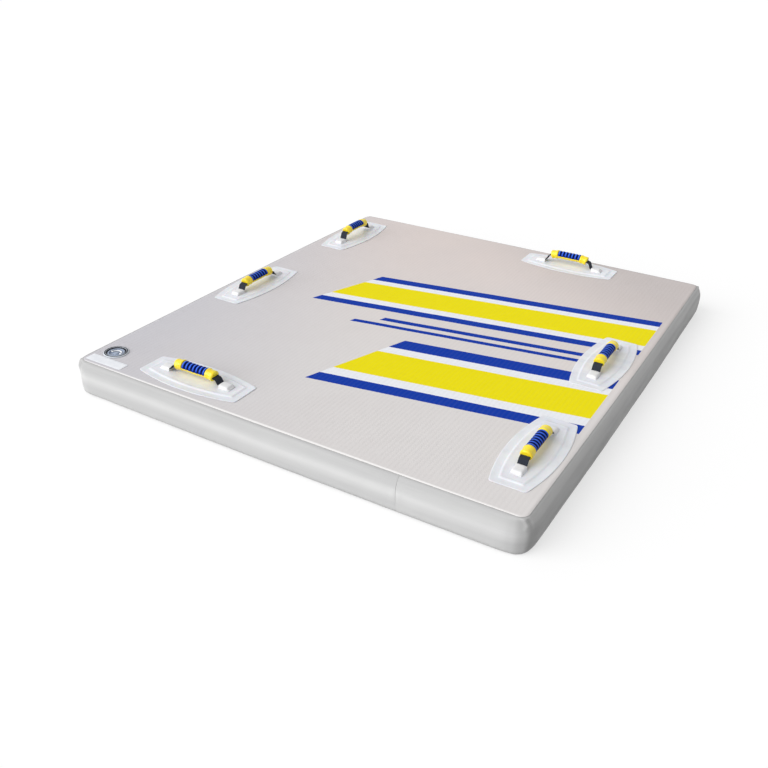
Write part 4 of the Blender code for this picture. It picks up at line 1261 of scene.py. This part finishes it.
@dataclass
class Handle:
    """One grab handle: patch, two keepers, webbing in two halves, moulded grip and ribbed insert.

    It is worked out along its own X, with its middle at X zero, and then laid on its side of the deck.

    Attributes:
        name: which handle it is.
        patch_end: the patch's width at its ends.
        patch_corner: radius of the patch's corners.
        patch_wave: unevenness of the patch.
        plateau: height of the patch's plateau.
        keeper: a keeper's length, width and height.
        strap: the webbing's width and thickness.
        leg_run: how far the webbing's leg runs in from its mouth.
        leg_share: the leg's share of the arch's rise.
        slope_deg: the arch's slope where the leg meets it.
        pulls: how far the arch's curve is drawn out at its crown and at the leg.
        lead: how far the arch's line is carried on past each mouth.
        grip: the grip's width and height.
        grip_length: its length along the arch.
        collar: how much of each end is collar.
        draw: how far the waist is drawn in.
        nose: radius of its ends.
        recess: depth of the seat for the insert.
        seat_side: the seat's depth on the grip's sides, past the webbing's slot.
        seat_deg: where on the grip's side the seat starts, and where its deep floor starts.
        ribs: ribs on the insert.
        ribbed: the share of the insert's length that they take up.
        rib_height: their height.
        slot_gap: clearance round the webbing in the grip.
    """

    name: str
    patch_end: float = 0.091
    patch_corner: float = 0.010
    patch_wave: Ripple = Ripple(0.00012, 0.06, 41)
    plateau: float = 0.0030
    keeper: tuple[float, float, float] = (0.034, 0.031, 0.0100)
    strap: Pair = (0.025, 0.0022)
    leg_run: float = 0.0125
    leg_share: float = 0.72
    slope_deg: float = 20.0
    pulls: Pair = (0.47, 0.33)
    lead: float = 0.05
    grip: Pair = (0.0315, 0.0290)
    grip_length: float = 0.131
    collar: float = 0.0250
    draw: float = 0.0012
    nose: float = 0.0030
    recess: float = 0.0034
    seat_side: float = 0.0011
    seat_deg: Pair = (-11.0, 17.0)
    ribs: int = 7
    ribbed: float = 0.955
    rib_height: float = 0.0012
    slot_gap: float = 0.0004

    def __post_init__(self) -> None:
        """Reads the handle's place, way round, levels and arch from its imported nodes."""
        low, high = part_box(f"handle_patch_{self.name}")
        strap_low, strap_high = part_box(f"strap_{self.name}")
        size = high - low
        self.body = f"handle_{self.name}"
        self.lengthwise = size.x > size.y
        self.patch_half = np.array(sorted((size.x, size.y), reverse=True)) / 2
        self.middle = np.array([*box_middle(low, high)[:2], 0.0])
        self.patch_low = low.z
        span = strap_high - strap_low
        self.mouth_x = max(span.x, span.y) / 2
        self.mouth_z = strap_low.z + self.strap[1] / 2
        self.rise = strap_high.z - self.strap[1] / 2 - self.mouth_z
        self.line = self.arch()

    def laid(self, points: np.ndarray) -> np.ndarray:
        """Points from the handle's own frame, turned a quarter where it lies along Y, on the deck."""
        x, y, z = (points[..., axis] for axis in range(3))
        return (points if self.lengthwise else points_of(-y, x, z)) + self.middle

    def curve(self, start: np.ndarray, pull: np.ndarray, pull_end: np.ndarray,
              end: np.ndarray) -> np.ndarray:
        """Seventy points on the cubic (1-t)^3 a + 3(1-t)^2 t b + 3(1-t) t^2 c + t^3 d, without its first."""
        t = np.linspace(0, 1, 71)[1:, None]
        return ((1 - t) ** 3 * start + 3 * (1 - t) ** 2 * t * pull + 3 * (1 - t) * t * t * pull_end
                + t ** 3 * end)

    def arch(self) -> np.ndarray:
        """The webbing's middle line in X and Z, from the -X mouth over the crown to the +X mouth.

        Returns:
            Its points, with a short straight lead into each keeper.
        """
        mouth = np.array([self.mouth_x, self.mouth_z])
        shoulder = mouth + (-self.leg_run, self.rise * self.leg_share)
        crown = np.array([0.0, self.mouth_z + self.rise])
        angle = math.radians(self.slope_deg)
        slope = np.array([math.cos(angle), -math.sin(angle)])
        crown_pull, shoulder_pull = shoulder[0] * np.array(self.pulls)
        pull = self.leg_run / 2
        top = self.curve(crown, crown + (crown_pull, 0.0), shoulder - slope * shoulder_pull, shoulder)
        leg = self.curve(shoulder, shoulder + slope * pull, mouth - (pull, 0.0), mouth)
        half = np.vstack([crown, top, leg])
        return np.vstack([(half * (-1, 1))[::-1][:-1], half])

    def carried(self, places: np.ndarray, sections: np.ndarray) -> np.ndarray:
        """Sections set square to the arch at distances along it.

        A section's point (across, up) goes to the line's point plus up times the line's own normal, and
        across becomes Y.

        Args:
            places: signed distances from the crown.
            sections: (across, up) points in the shape (place, point, 2), or (point, 2) for one section.

        Returns:
            Rings of points on the deck.
        """
        gone = way_along(self.line)
        gone -= gone[-1] / 2
        tangent = np.gradient(self.line, axis=0)
        tangent /= np.linalg.norm(tangent, axis=1)[:, None]
        longer = np.vstack([self.line[0] - (self.lead, 0.0), self.line, self.line[-1] + (self.lead, 0.0)])
        ends = np.concatenate([[gone[0] - self.lead], gone, [gone[-1] + self.lead]])
        x, z = (np.interp(places, ends, values)[:, None] for values in longer.T)
        along_x, along_z = (np.interp(places, gone, values) for values in tangent.T)
        size = np.hypot(along_x, along_z)
        up_x, up_z = (-along_z / size)[:, None], (along_x / size)[:, None]
        across, up = sections[..., 0], sections[..., 1]
        return self.laid(points_of(x + up_x * up, across, z + up_z * up))

    def patch_outline(self, inset: float) -> np.ndarray:
        """The boat-shaped outline moved in: sides y = end + crown (1 - (x / half)^2), with round corners.

        Args:
            inset: how far in.

        Returns:
            (x, y) points all the way round.
        """
        full, wide = self.patch_half
        end = self.patch_end / 2
        crown = wide - end
        half = full - inset
        corner = max(self.patch_corner - 0.25 * inset, 0.004)
        end_here = end + crown * (1 - (half / full) ** 2) - inset
        lean = math.atan(2 * crown * half / full ** 2)
        middle = np.array([half - corner, end_here + corner * (math.tan(lean) - 1 / math.cos(lean))])
        x = np.linspace(0.0, middle[0] + corner * math.sin(lean), 26)[:-1]
        side = points_of(x, end + crown * (1 - (x / full) ** 2) - inset)
        turn = np.linspace(math.pi / 2 - lean, 0.0, 8)
        arc = middle + corner * points_of(np.cos(turn), np.sin(turn))
        end_run = points_of(arc[-1, 0], np.linspace(arc[-1, 1], 0.0, 8)[1:])
        quarter = np.vstack([side, arc, end_run])
        right = np.vstack([quarter, (quarter * (1, -1))[::-1][1:-1]])
        return np.vstack([right, right * (-1, -1)])

    def patch(self) -> None:
        """The moulded patch: a flange with a low bead, a soft rounded step, and a plateau."""
        levels = (
            (0.0003, 0.0), (0.0, 0.0003), (0.0, 0.0008), (0.0004, 0.0011), (0.0012, 0.0013), (0.0026, 0.0014),
            (0.0042, 0.0013), (0.0060, 0.0012), (0.0130, 0.0011), (0.0186, 0.0011), (0.0198, 0.0013),
            (0.0209, 0.0017), (0.0220, 0.0023), (0.0231, 0.0028), (0.0243, 0.0031), (0.0256, 0.0033),
            (0.0270, 0.0033), (0.0284, 0.0031), (0.0300, self.plateau), (0.0360, self.plateau))
        rings = []
        for inset, height in levels:
            x, y = self.patch_outline(inset).T
            wave = self.patch_wave.tall * self.patch_wave.at(x, y) * (inset > 0.001)
            rings.append(points_of(x, y, self.patch_low + height + wave))
        inner = rings[-1]
        for share in (0.7, 0.4, 0.15):
            drawn = inner * (share + 0.3 * (1 - share), share, 1.0)
            drawn[:, 2] = self.patch_low + self.plateau
            rings.append(drawn)
        add_piece(f"patch_{self.name}", lofted(self.laid(np.array(rings))), PATCH,
                  stands_for=(f"handle_patch_{self.name}",), sharp_deg=50.0)

    def keepers(self) -> None:
        """Both keepers: blocks lofted from the mouth outwards, highest at the mouth, with a real slot.

        Each section is half a squared-off superellipse on a flat base. Inside the mouth the rings go on
        as the slot's outline, so that the webbing enters a hole.
        """
        length, width, height = self.keeper
        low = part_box(f"keeper_a_{self.name}")[0].z
        across, up = super_circle(np.linspace(math.pi, 0.0, 37), 5.0)
        share = np.array([0.0, 0.006, 0.02, 0.05, 0.12, 0.25, 0.4, 0.55, 0.7, 0.8, 0.86, 0.91, 0.95, 0.98, 1.0])
        lip = 0.0009 * smooth(0.03, 0.0, share)
        tall = height * (1 - 0.10 * smooth(0.1, 0.8, share)) - lip
        tall = tall * (1 - 0.72 * smooth(0.80, 1.0, share))
        wide = width / 2 - 0.0010 * smooth(0.7, 1.0, share) - lip / 2
        top_wide = wide - 0.0022 * smooth(0.0, 0.3, share + 0.3)
        waist = 1 - (1 - top_wide / wide)[:, None] * up[None, :]
        base_y = np.linspace(1, -1, 11)[1:-1]
        y = np.hstack([wide[:, None] * across[None, :] * waist, wide[:, None] * base_y])
        z = np.hstack([tall[:, None] * up[None, :], np.zeros((len(share), len(base_y)))])
        outer = points_of((share * length)[:, None], y, z + low)
        slot = self.slot_ring(0.0012, 0.0010, outer.shape[1])
        mouth = [points_of(depth, slot[:, 0] * grow, slot[:, 1] * grow + self.mouth_z)
                 for depth, grow in ((0.0050, 1.0), (0.0006, 1.0), (0.0, 1.10))]
        rings = np.vstack([mouth, outer])
        rings[..., 0] += self.mouth_x + CLEAR
        for letter, side in (("a", -1), ("b", 1)):
            add_piece(f"keeper_{letter}_cover_{self.name}", lofted(self.laid(rings * (side, side, 1))), KEEPER,
                      stands_for=(f"keeper_{letter}_{self.name}",), sharp_deg=40.0)

    def slot_ring(self, wider: float, taller: float, count: int) -> np.ndarray:
        """The outline of a slot for the strap, so much wider and taller, from its left end over the top."""
        across, up = super_circle(np.linspace(math.pi, -math.pi, count, endpoint=False), 8.0)
        return points_of(across * (self.strap[0] + wider) / 2, up * (self.strap[1] + taller) / 2)

    def webbing(self) -> None:
        """The strap in two halves that meet inside the grip, each turning softly where it leaves its keeper.

        Its section is a flat slot shape, a little thicker at the two woven edges.
        """
        width, thickness = self.strap
        across, up = super_circle(circle(28), 9.0)
        edge = 1 + 0.16 * smooth(0.72, 0.92, np.abs(across))
        section = points_of(across * width / 2, up * edge * thickness / 2 * 0.9)
        reach = way_along(self.line)[-1] / 2
        in_keeper, in_grip, bend_run = 0.0045, 0.004, 0.0125
        leg = np.linspace(reach + in_keeper, self.grip_length / 2 - in_grip, 46)
        places = np.concatenate([leg, np.linspace(leg[-1], 0.0004, 16)[1:]])
        measure = points_of(places[:, None], (across * width / 2)[None, :])
        for letter, side in (("a", -1), ("b", 1)):
            piece = add_piece(f"webbing_{letter}_{self.name}", lofted(self.carried(side * places, section)),
                              WEBBING, body=None, stands_for=(f"strap_{self.name}",),
                              sharp_deg=50.0, uv=measure)
            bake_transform(piece)

    def oval(self, turn: np.ndarray, depth: np.ndarray) -> np.ndarray:
        """The grip's oval drawn in by a depth: ((w - depth) cos a, (h - depth) sin a)."""
        width, height = self.grip
        return points_of((width / 2 - depth) * np.cos(turn), (height / 2 - depth) * np.sin(turn))

    def over_top(self, start: float, stop: float, turn: np.ndarray) -> np.ndarray:
        """1 over the grip's top and 0 below, rising between two angles on either side, in radians."""
        return smooth(start, stop, turn) * smooth(math.pi - start, math.pi - stop, turn)

    def sleeve(self) -> None:
        """The moulded grip: two beaded collars, a waist, a seat cut in its top, and a slot right through.

        The outer rings run from one end to the other and the slot's rings run back, so the body is one
        closed surface. The seat is a depth with two steep rises: to a shallow side where the angle passes
        the seat's edge, and to the floor where it has passed the slot.
        """
        end, nose = self.grip_length / 2, self.nose
        waist = end - self.collar
        turn = np.linspace(math.pi, -math.pi, 96, endpoint=False)
        places = np.concatenate([
            end - np.array([0.0, 0.0002, 0.0007, 0.0015, 0.0026, 0.0040]),
            np.linspace(end - 0.006, waist + 0.0030, 10), waist + np.array([0.0018, 0.0009, 0.0003, 0.0]),
            np.linspace(waist - 0.0015, 0.0, 26)])
        places = np.concatenate([places, -places[::-1][1:]])
        far = np.abs(places)
        rounding = nose - np.sqrt(np.clip(nose ** 2 - np.clip(far - end + nose, 0, nose) ** 2, 0, None))
        bead = -0.0007 * hump(end - 0.0050, 0.0022, far) - 0.0007 * hump(waist + 0.0042, 0.0022, far)
        collar = 0.0006 * hump((end + waist) / 2, 0.0070, far)
        drawn = self.draw * smooth(waist + 0.0012, waist - 0.0006, far)
        swell = -0.0004 * hump(0.0, 0.022, far)
        depth = (rounding + bead + collar + drawn + swell * (far < waist))[:, None]
        edge, floor = (math.radians(angle) for angle in self.seat_deg)
        around = np.mod(turn + math.pi / 2, TURN) - math.pi / 2
        side = self.over_top(edge - 0.06, edge + 0.01, around)
        deep = self.over_top(floor - 0.14, floor, around)
        seat = self.seat_side * side + (self.recess - self.seat_side) * deep
        seat = seat[None, :] * smooth(waist + 0.0004, waist - 0.0002, far)[:, None]
        outer = self.oval(turn[None, :], depth + seat)
        slot = self.slot_ring(2 * self.slot_gap, 2 * self.slot_gap, len(turn))
        back = np.linspace(-end + 0.0002, end - 0.0002, 20)
        lips = 1 + 0.04 * hump(end, 0.0015, np.abs(back))
        inner = slot * lips[:, None, None]
        rings = self.carried(np.concatenate([places, back]), np.concatenate([outer, inner]))
        add_piece(f"grip_sleeve_{self.name}", lofted(rings, wrap=True), GRIP, self.body,
                  stands_for=(f"grip_{self.name}",), sharp_deg=40.0)

    def insert(self) -> None:
        """The ribbed saddle in the seat, thick over the top and a thin skin down the sides.

        A rib's height is the rib size times |sin| of its phase, flattened by a power below one, and less
        on the sides. Its underside follows the seat at a small clearance.
        """
        gap, count = 0.0006, 40
        reach = self.grip_length / 2 - self.collar - gap
        edge, floor = (math.radians(angle) for angle in self.seat_deg)
        edge += gap / (self.grip[0] / 2)
        turn = np.linspace(edge, math.pi - edge, count)
        places = np.linspace(-reach, reach, 128)
        phase = (places / reach * self.ribbed + 1) / 2 * self.ribs * math.pi
        rib = np.abs(np.sin(phase)) ** 0.7 * (np.abs(places) < reach * self.ribbed + 1e-6)
        over = self.over_top(floor - 0.10, floor + 0.45, turn)
        deepest = 0.0006 + (1.9 * self.rib_height - 0.0006) * over
        end_round = 0.0006 * smooth(reach - 0.0022, reach, np.abs(places))
        depth = (0.0008 + (1 - rib)[:, None] * deepest[None, :]
                 + end_round[:, None] * (0.2 + 0.8 * over)[None, :])
        outer = self.oval(turn[None, :], depth)
        back = np.linspace(math.pi - edge, edge, count)
        bed = self.draw + self.seat_side - CLEAR
        bed = bed + (self.recess - self.seat_side) * self.over_top(floor - 0.10, floor + 0.04, back)
        inner = np.broadcast_to(self.oval(back, bed), (len(places), count, 2))
        round_it = np.concatenate([1 - np.abs(np.linspace(-1, 1, count)), np.zeros(count)])
        rings = self.carried(places, np.concatenate([outer, inner], 1))
        add_piece(f"grip_ribs_{self.name}", lofted(rings), INSERT, self.body,
                  stands_for=(f"grip_insert_{self.name}",), sharp_deg=50.0,
                  uv=points_of(phase[:, None] / math.pi, round_it[None, :]))

    def build(self) -> None:
        """Makes the handle's pieces."""
        for step in (self.patch, self.keepers, self.webbing, self.sleeve, self.insert):
            step()


# Valve


@dataclass
class Valve:
    """The inflation valve: clamped body, ring, sprung poppet, twist cap with its seal, and the bail.

    Attributes:
        neck: outer radius and bore of the neck.
        well: outer radius and bore of the well below it.
        floor: thickness of the well's floor.
        airway: radius of the opening in that floor.
        flange: radius and thickness of the clamping flange.
        hub: radius of the stem's guide.
        spokes: how many spokes carry it.
        spoke: half the width of a spoke.
        stem: the stem's radius.
        button: radius and thickness of the push button.
        disc: radius and thickness of the poppet's disc.
        coil: radius, wire and turns of the spring.
        travel: how far the button goes down; not used here.
        cap: radius and wall of the cap.
        dish: radius of the dish in it, and its depth.
        boss: radius and height of its round boss.
        bail: radius of the bail's ring, half its thickness and half its width.
        notches: finger notches round the cap.
    """

    neck: Pair = (0.0285, 0.0255)
    well: Pair = (0.0245, 0.0215)
    floor: float = 0.0030
    airway: float = 0.0150
    flange: Pair = (0.0345, 0.0030)
    hub: float = 0.0055
    spokes: int = 3
    spoke: float = 0.0013
    stem: float = 0.0024
    button: Pair = (0.0070, 0.0020)
    disc: Pair = (0.0195, 0.0022)
    coil: tuple[float, float, float] = (0.0043, 0.0008, 4.5)
    travel: float = 0.006
    cap: Pair = (0.0246, 0.0030)
    dish: Pair = (0.0198, 0.0046)
    boss: Pair = (0.0080, 0.0036)
    bail: tuple[float, float, float] = (0.0138, 0.0013, 0.0026)
    notches: int = 24

    def __post_init__(self) -> None:
        """Reads the valve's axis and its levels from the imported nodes."""
        low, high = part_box("valve_ring")
        self.centre = box_middle(low, high)[:2]
        self.ring_radius = (high.x - low.x) / 2
        self.ring_low, self.ring_top = low.z, high.z
        self.well_low, self.neck_top = (corner.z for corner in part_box("valve_base"))
        self.cap_low, self.cap_top = (corner.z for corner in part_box("valve_cap"))
        self.seal_low, self.seal_top = (corner.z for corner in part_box("valve_cap_seal"))
        self.flange_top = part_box("valve_gasket")[0].z - CLEAR
        self.pin_level = box_middle(*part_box("cap_bail"))[2]

    def about(self, radius: np.ndarray | float, angle: np.ndarray, height: np.ndarray | float) -> np.ndarray:
        """Points at a radius and an angle about the valve's axis, at a height."""
        x, y = self.centre
        return points_of(x + radius * np.cos(angle), y + radius * np.sin(angle), height)

    def spun(self, name: str, profile: np.ndarray, segments: int, finish: Finish, node: str,
             body: str = "hull") -> None:
        """Adds a piece turned about the valve's axis, in so many steps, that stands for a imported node."""
        add_piece(name, turned(profile, self.centre, segments), finish, body, stands_for=(node,))

    def washer(self, inner: float, outer: float, top: float, low: float, radius: float) -> np.ndarray:
        """The profile of a flat ring with rounded corners."""
        return rounded([(inner, top), (outer, top), (outer, low), (inner, low)], radius)

    def ring(self) -> None:
        """The visible ring: a domed flange with a rolled outer edge, and a rubber dust ring let into it."""
        bore, low, top, radius = self.neck[0] + CLEAR, self.ring_low, self.ring_top, self.ring_radius
        groove = bore + 0.0024
        profile = [
            (bore, top), (groove - 0.0015, top), (groove - 0.0014, top - 0.0012),
            (groove + 0.0014, top - 0.0012), (groove + 0.0015, top), (radius - 0.0024, top - 0.0003),
            (radius - 0.0010, top - 0.0012), (radius, top - 0.0022), (radius, low), (bore, low)]
        self.spun("valve_flange_ring", rounded(profile, 0.0004), 128, VALVE, "valve_ring")
        dust = self.washer(groove - 0.0012, groove + 0.0012, top - 0.0001, top - 0.0011, 0.0004)
        self.spun("valve_dust_ring", dust, 128, RUBBER, "valve_ring")

    def body(self) -> None:
        """The body inside the platform, and the spoked guide in its floor."""
        (neck, bore), (well, well_bore), (flange, thick) = self.neck, self.well, self.flange
        low, floor_top, seal = self.well_low, self.well_low + self.floor, self.seal_low - CLEAR
        shoulder, under = seal - (neck - bore), self.flange_top - thick
        profile = [
            (neck, self.neck_top), (neck, self.flange_top), (flange, self.flange_top), (flange, under),
            (neck, under), (neck, shoulder), (well, shoulder), (well, low), (self.airway, low),
            (self.airway, floor_top), (well_bore, floor_top), (well_bore, seal), (bore, seal),
            (bore, self.neck_top - 0.0012), (bore + 0.0012, self.neck_top)]
        self.spun("valve_body", rounded(profile, 0.0004, 3), 96, NECK, "valve_base")
        angle = circle(180)
        phase = np.mod(angle * self.spokes / TURN + 0.5, 1.0) - 0.5
        offset = np.abs(phase) * TURN / self.spokes
        reach = np.clip(self.spoke / np.maximum(np.sin(offset), 1e-4), self.hub, self.airway - 0.0001)
        reach = np.where(offset < math.pi / 2, reach, self.hub)
        inner = self.stem + 0.0004
        rings = [self.about(radius, angle, height)
                 for radius, height in ((reach, floor_top - 0.0003), (reach, low + 0.0003),
                                        (inner, low + 0.0001), (inner, floor_top - 0.0001))]
        add_piece("stem_guide", lofted(np.array(rings), wrap=True), VALVE, stands_for=("valve_base",))

    def poppet(self) -> None:
        """The poppet with its button, stem and disc, and the washer that seals on the seat."""
        low, top = (corner.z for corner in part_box("valve_poppet"))
        washer_low, washer_top = (corner.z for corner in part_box("poppet_washer"))
        (button, thick), (disc, disc_thick) = self.button, self.disc
        under, over = top - thick, low + disc_thick
        profile = [
            (0.0, top - 0.0003), (button * 0.5, top), (button * 0.85, top), (button, top - 0.0008),
            (button, under), (self.stem, under), (self.stem, over), (disc, over), (disc, low), (0.0, low)]
        self.spun("poppet_stem", rounded(profile, 0.0003, 3, closed=False), 64, CAP, "valve_poppet",
                  "poppet")
        seal = self.washer(self.stem + 0.0004, disc, washer_top, washer_low, 0.0005)
        self.spun("poppet_seal", seal, 72, RUBBER, "poppet_washer", "poppet")

    def spring(self) -> None:
        """The stem's spring, a helix whose end turns lie closer."""
        low, high = (corner.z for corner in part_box("valve_spring"))
        radius, wire, turns = self.coil
        share = np.linspace(0, 1, round(turns * 28))
        climb = share + 0.06 * np.sin(TURN * share)
        angle = TURN * turns * share
        path = self.about(radius, angle, low + wire / 2 + (high - low - wire) * climb)
        piece = add_piece("stem_spring", tube(path, np.full(len(path), wire / 2), 10), STEEL,
                          stands_for=("valve_spring",))
        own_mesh(piece)

    def twist_cap(self) -> None:
        """The cap: a skirt, a notched rim, a dish and a domed boss, bored for the bail's pins."""
        (radius, wall), (dish, depth), (boss, boss_height) = self.cap, self.dish, self.boss
        top, low = self.cap_top, self.cap_low
        level, inner = top - depth, radius - wall
        under = level - 0.0022
        profile = [
            (0.0, level + boss_height), (boss * 0.45, level + boss_height * 0.97),
            (boss * 0.80, level + boss_height * 0.80), (boss, level + boss_height * 0.42), (boss * 1.08, level),
            (dish - 0.0004, level), (dish + 0.0005, top), (radius - 0.0012, top), (radius, top - 0.0014),
            (radius, low), (inner, low), (inner, under), (0.0, under)]
        fine = rounded(profile, 0.0006, 3, closed=False)
        across, height = fine[1:-1].T
        segments = 192
        rim = smooth(dish + 0.0012, radius - 0.0004, across) * smooth(top - 0.0060, top - 0.0030, height)
        notch = np.clip(np.cos(circle(segments) * self.notches), 0.0, 1.0) ** 2
        flute = 1 - 0.035 * rim[:, None] * notch[None, :]
        piece = add_piece("twist_cap", turned(fine, self.centre, segments, flute), CAP, "cap",
                          stands_for=("valve_cap",))
        for side in (-1, 1):
            bore_out(piece, self.pin_hole(side))
        seal = self.washer(inner + CLEAR, radius, self.seal_top, self.seal_low, 0.0005)
        self.spun("cap_seal_ring", seal, 96, RUBBER, "valve_cap_seal", "cap_seal")

    def pin_hole(self, side: int) -> Shape:
        """The socket for one of the bail's pins, a short round bore along X.

        Args:
            side: -1 or 1.

        Returns:
            The bore's points and faces.
        """
        radius, angle = 0.0012, circle(20)
        reach = np.array([self.dish[0] - 0.002, self.dish[0] + 0.0017])[:, None] * side
        return lofted(points_of(self.centre[0] + reach, self.centre[1] + radius * np.cos(angle),
                                self.pin_level + radius * np.sin(angle)))

    def finger_bail(self) -> None:
        """The half ring that folds up, widest at its middle, with an eye and a pin at each end.

        Its section is an ellipse carried round the half circle, whose width grows by the sine of the turn.
        """
        radius, wire, wide = self.bail
        level = self.pin_level
        turn, around = np.linspace(0.0, math.pi, 49)[:, None], circle(18)[None, :]
        reach = radius + (wire + (wide - wire) * np.sin(turn) ** 0.5) * np.cos(around)
        rings = self.about(reach, turn, level + wire * np.sin(around))
        add_piece("finger_bail", lofted(rings), BAIL, "bail", stands_for=("cap_bail",))
        eye, pin = 0.0018, 0.0009
        profile = [(0.0, -0.0010), (eye, -0.0010), (eye, 0.0), (eye, 0.0052), (pin, 0.0058), (pin, 0.0074),
                   (0.0, 0.0074)]
        points, faces = turned(rounded(profile, 0.0003, 3, closed=False), (0.0, 0.0), 32)
        for letter, side in (("a", -1), ("b", 1)):
            laid = points_of(side * points[:, 2], points[:, 1], -side * points[:, 0])
            laid += (self.centre[0] + side * radius, self.centre[1], level)
            add_piece(f"bail_eye_{letter}", (laid, faces), BAIL, "bail", stands_for=("cap_bail",))

    def build(self) -> None:
        """Makes the valve's pieces."""
        for step in (self.ring, self.body, self.poppet, self.spring, self.twist_cap, self.finger_bail):
            step()


def dress_inner_nodes() -> None:
    """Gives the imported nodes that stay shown, all of them inside, their real finishes."""
    finishes = {"top_skin": SKIN, "seam_tape_front": SKIN, "seam_tape_rear": SKIN, "spacer_yarn_core": YARN,
                "valve_gasket": RUBBER}
    for name, finish in finishes.items():
        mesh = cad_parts[name].data
        mesh.materials.clear()
        mesh.materials.append(finish.material())
        LOG.info("%s finished as %s", name, finish.name)


# Studio


@dataclass
class Studio:
    """The camera, the soft light and the pale floor.

    Attributes:
        azimuth_deg: the camera's way round, from looking along +Y.
        elevation_deg: its height above the horizon.
        roll_deg: its roll.
        distance: its distance from the target.
        target: the point it looks at.
        lens: focal length in millimetres.
        sensor: width of the picture on the sensor in millimetres.
        sun: strength of the main light.
        sun_from: where the main light comes from.
        sun_deg: how wide it is in the sky.
        sky: brightness of the surroundings as light.
        floor_tone: the floor's grey for light.
        floor_white: how bright the camera sees it where nothing shades it.
        floor_half: half the floor's width.
    """

    azimuth_deg: float = 30.12
    elevation_deg: float = 29.14
    roll_deg: float = 1.43
    distance: float = 2.2889
    target: Colour = (0.1176, -0.4264, 0.102)
    lens: float = 40.1625
    sensor: float = 36.0
    sun: float = 2.7
    sun_from: Colour = (-0.50, -0.70, 0.52)
    sun_deg: float = 60.0
    sky: float = 0.50
    floor_tone: float = 0.40
    floor_white: float = 1.03
    floor_half: float = 30.0

    def camera(self) -> None:
        """Places the camera by its angles, and turns it by its roll."""
        azimuth, elevation, roll = (math.radians(angle) for angle in
                                    (self.azimuth_deg, self.elevation_deg, self.roll_deg))
        back = Vector((math.sin(azimuth) * math.cos(elevation), -math.cos(azimuth) * math.cos(elevation),
                       math.sin(elevation)))
        right = Vector((math.cos(azimuth), math.sin(azimuth), 0.0))
        up = back.cross(right)
        turned_right = right * math.cos(roll) + up * math.sin(roll)
        turned_up = up * math.cos(roll) - right * math.sin(roll)
        data = bpy.data.cameras.new("photo_camera")
        data.sensor_width = self.sensor
        data.lens = self.lens
        data.clip_start, data.clip_end = 0.05, 60.0
        camera = placed("photo_camera", data)
        turn = Matrix((turned_right, turned_up, back)).transposed()
        camera.matrix_world = Matrix.Translation(Vector(self.target) + back * self.distance) @ turn.to_4x4()
        bpy.context.scene.camera = camera

    def lights(self) -> None:
        """One broad soft lamp from the front left, and an even sky that cameras and mirrors see as white."""
        data = bpy.data.lights.new("soft_key", "SUN")
        data.energy = self.sun
        data.angle = math.radians(self.sun_deg)
        lamp = placed("soft_key", data)
        lamp.rotation_mode = "QUATERNION"
        lamp.rotation_quaternion = Vector(self.sun_from).to_track_quat("Z", "Y")
        world = bpy.data.worlds.new("studio")
        world.use_nodes = True
        bpy.context.scene.world = world
        desk = NodeDesk(world.node_tree)
        strength = desk.span(self.seen(desk), 0.0, 1.0, self.sky, 1.0, soft=False)
        desk.surface("World", desk.put("Background", {"Color": (1.0, 1.0, 1.0), "Strength": strength}))

    def seen(self, desk: NodeDesk) -> Socket:
        """1 for rays from the camera, from mirrors and through glass, and 0 for others."""
        camera, mirror, glass = map(desk.add("LightPath").outputs.get,
                                    ("Is Camera Ray", "Is Glossy Ray", "Is Transmission Ray"))
        return desk.math("MAXIMUM", desk.math("MAXIMUM", camera, mirror), glass)

    def floor(self) -> None:
        """A wide pale floor, seen as white but for the object's shadow on it."""
        corners = np.array([(-1, -1, 0), (1, -1, 0), (1, 1, 0), (-1, 1, 0)]) * self.floor_half
        plane = placed("studio_floor", new_mesh("studio_floor", (corners, [(0, 1, 2, 3)]), turn_out=False))
        plane.location.z = -0.0005
        material, desk = new_material("studio_floor")
        plain = desk.put("BsdfDiffuse", {"Color": (self.floor_tone,) * 3})
        glow = desk.math("MULTIPLY", self.seen(desk), self.floor_white - self.floor_tone)
        desk.surface("Material", desk.put("AddShader", {0: plain, 1: desk.put("Emission", {"Strength": glow})}))
        plane.data.materials.append(material)

    def build(self) -> None:
        """Sets up the whole studio."""
        for step in (self.camera, self.lights, self.floor):
            step()
        bpy.context.scene.view_settings.view_transform = "Standard"


def main() -> None:
    """Builds the studio and every piece of the platform in order."""
    Studio().build()
    AirPlatform().build()
    for name in ("front", "right_front", "right_middle", "rear", "left_middle", "left_rear"):
        Handle(name).build()
    Valve().build()
    dress_inner_nodes()


if __name__ == "__main__":
    main()
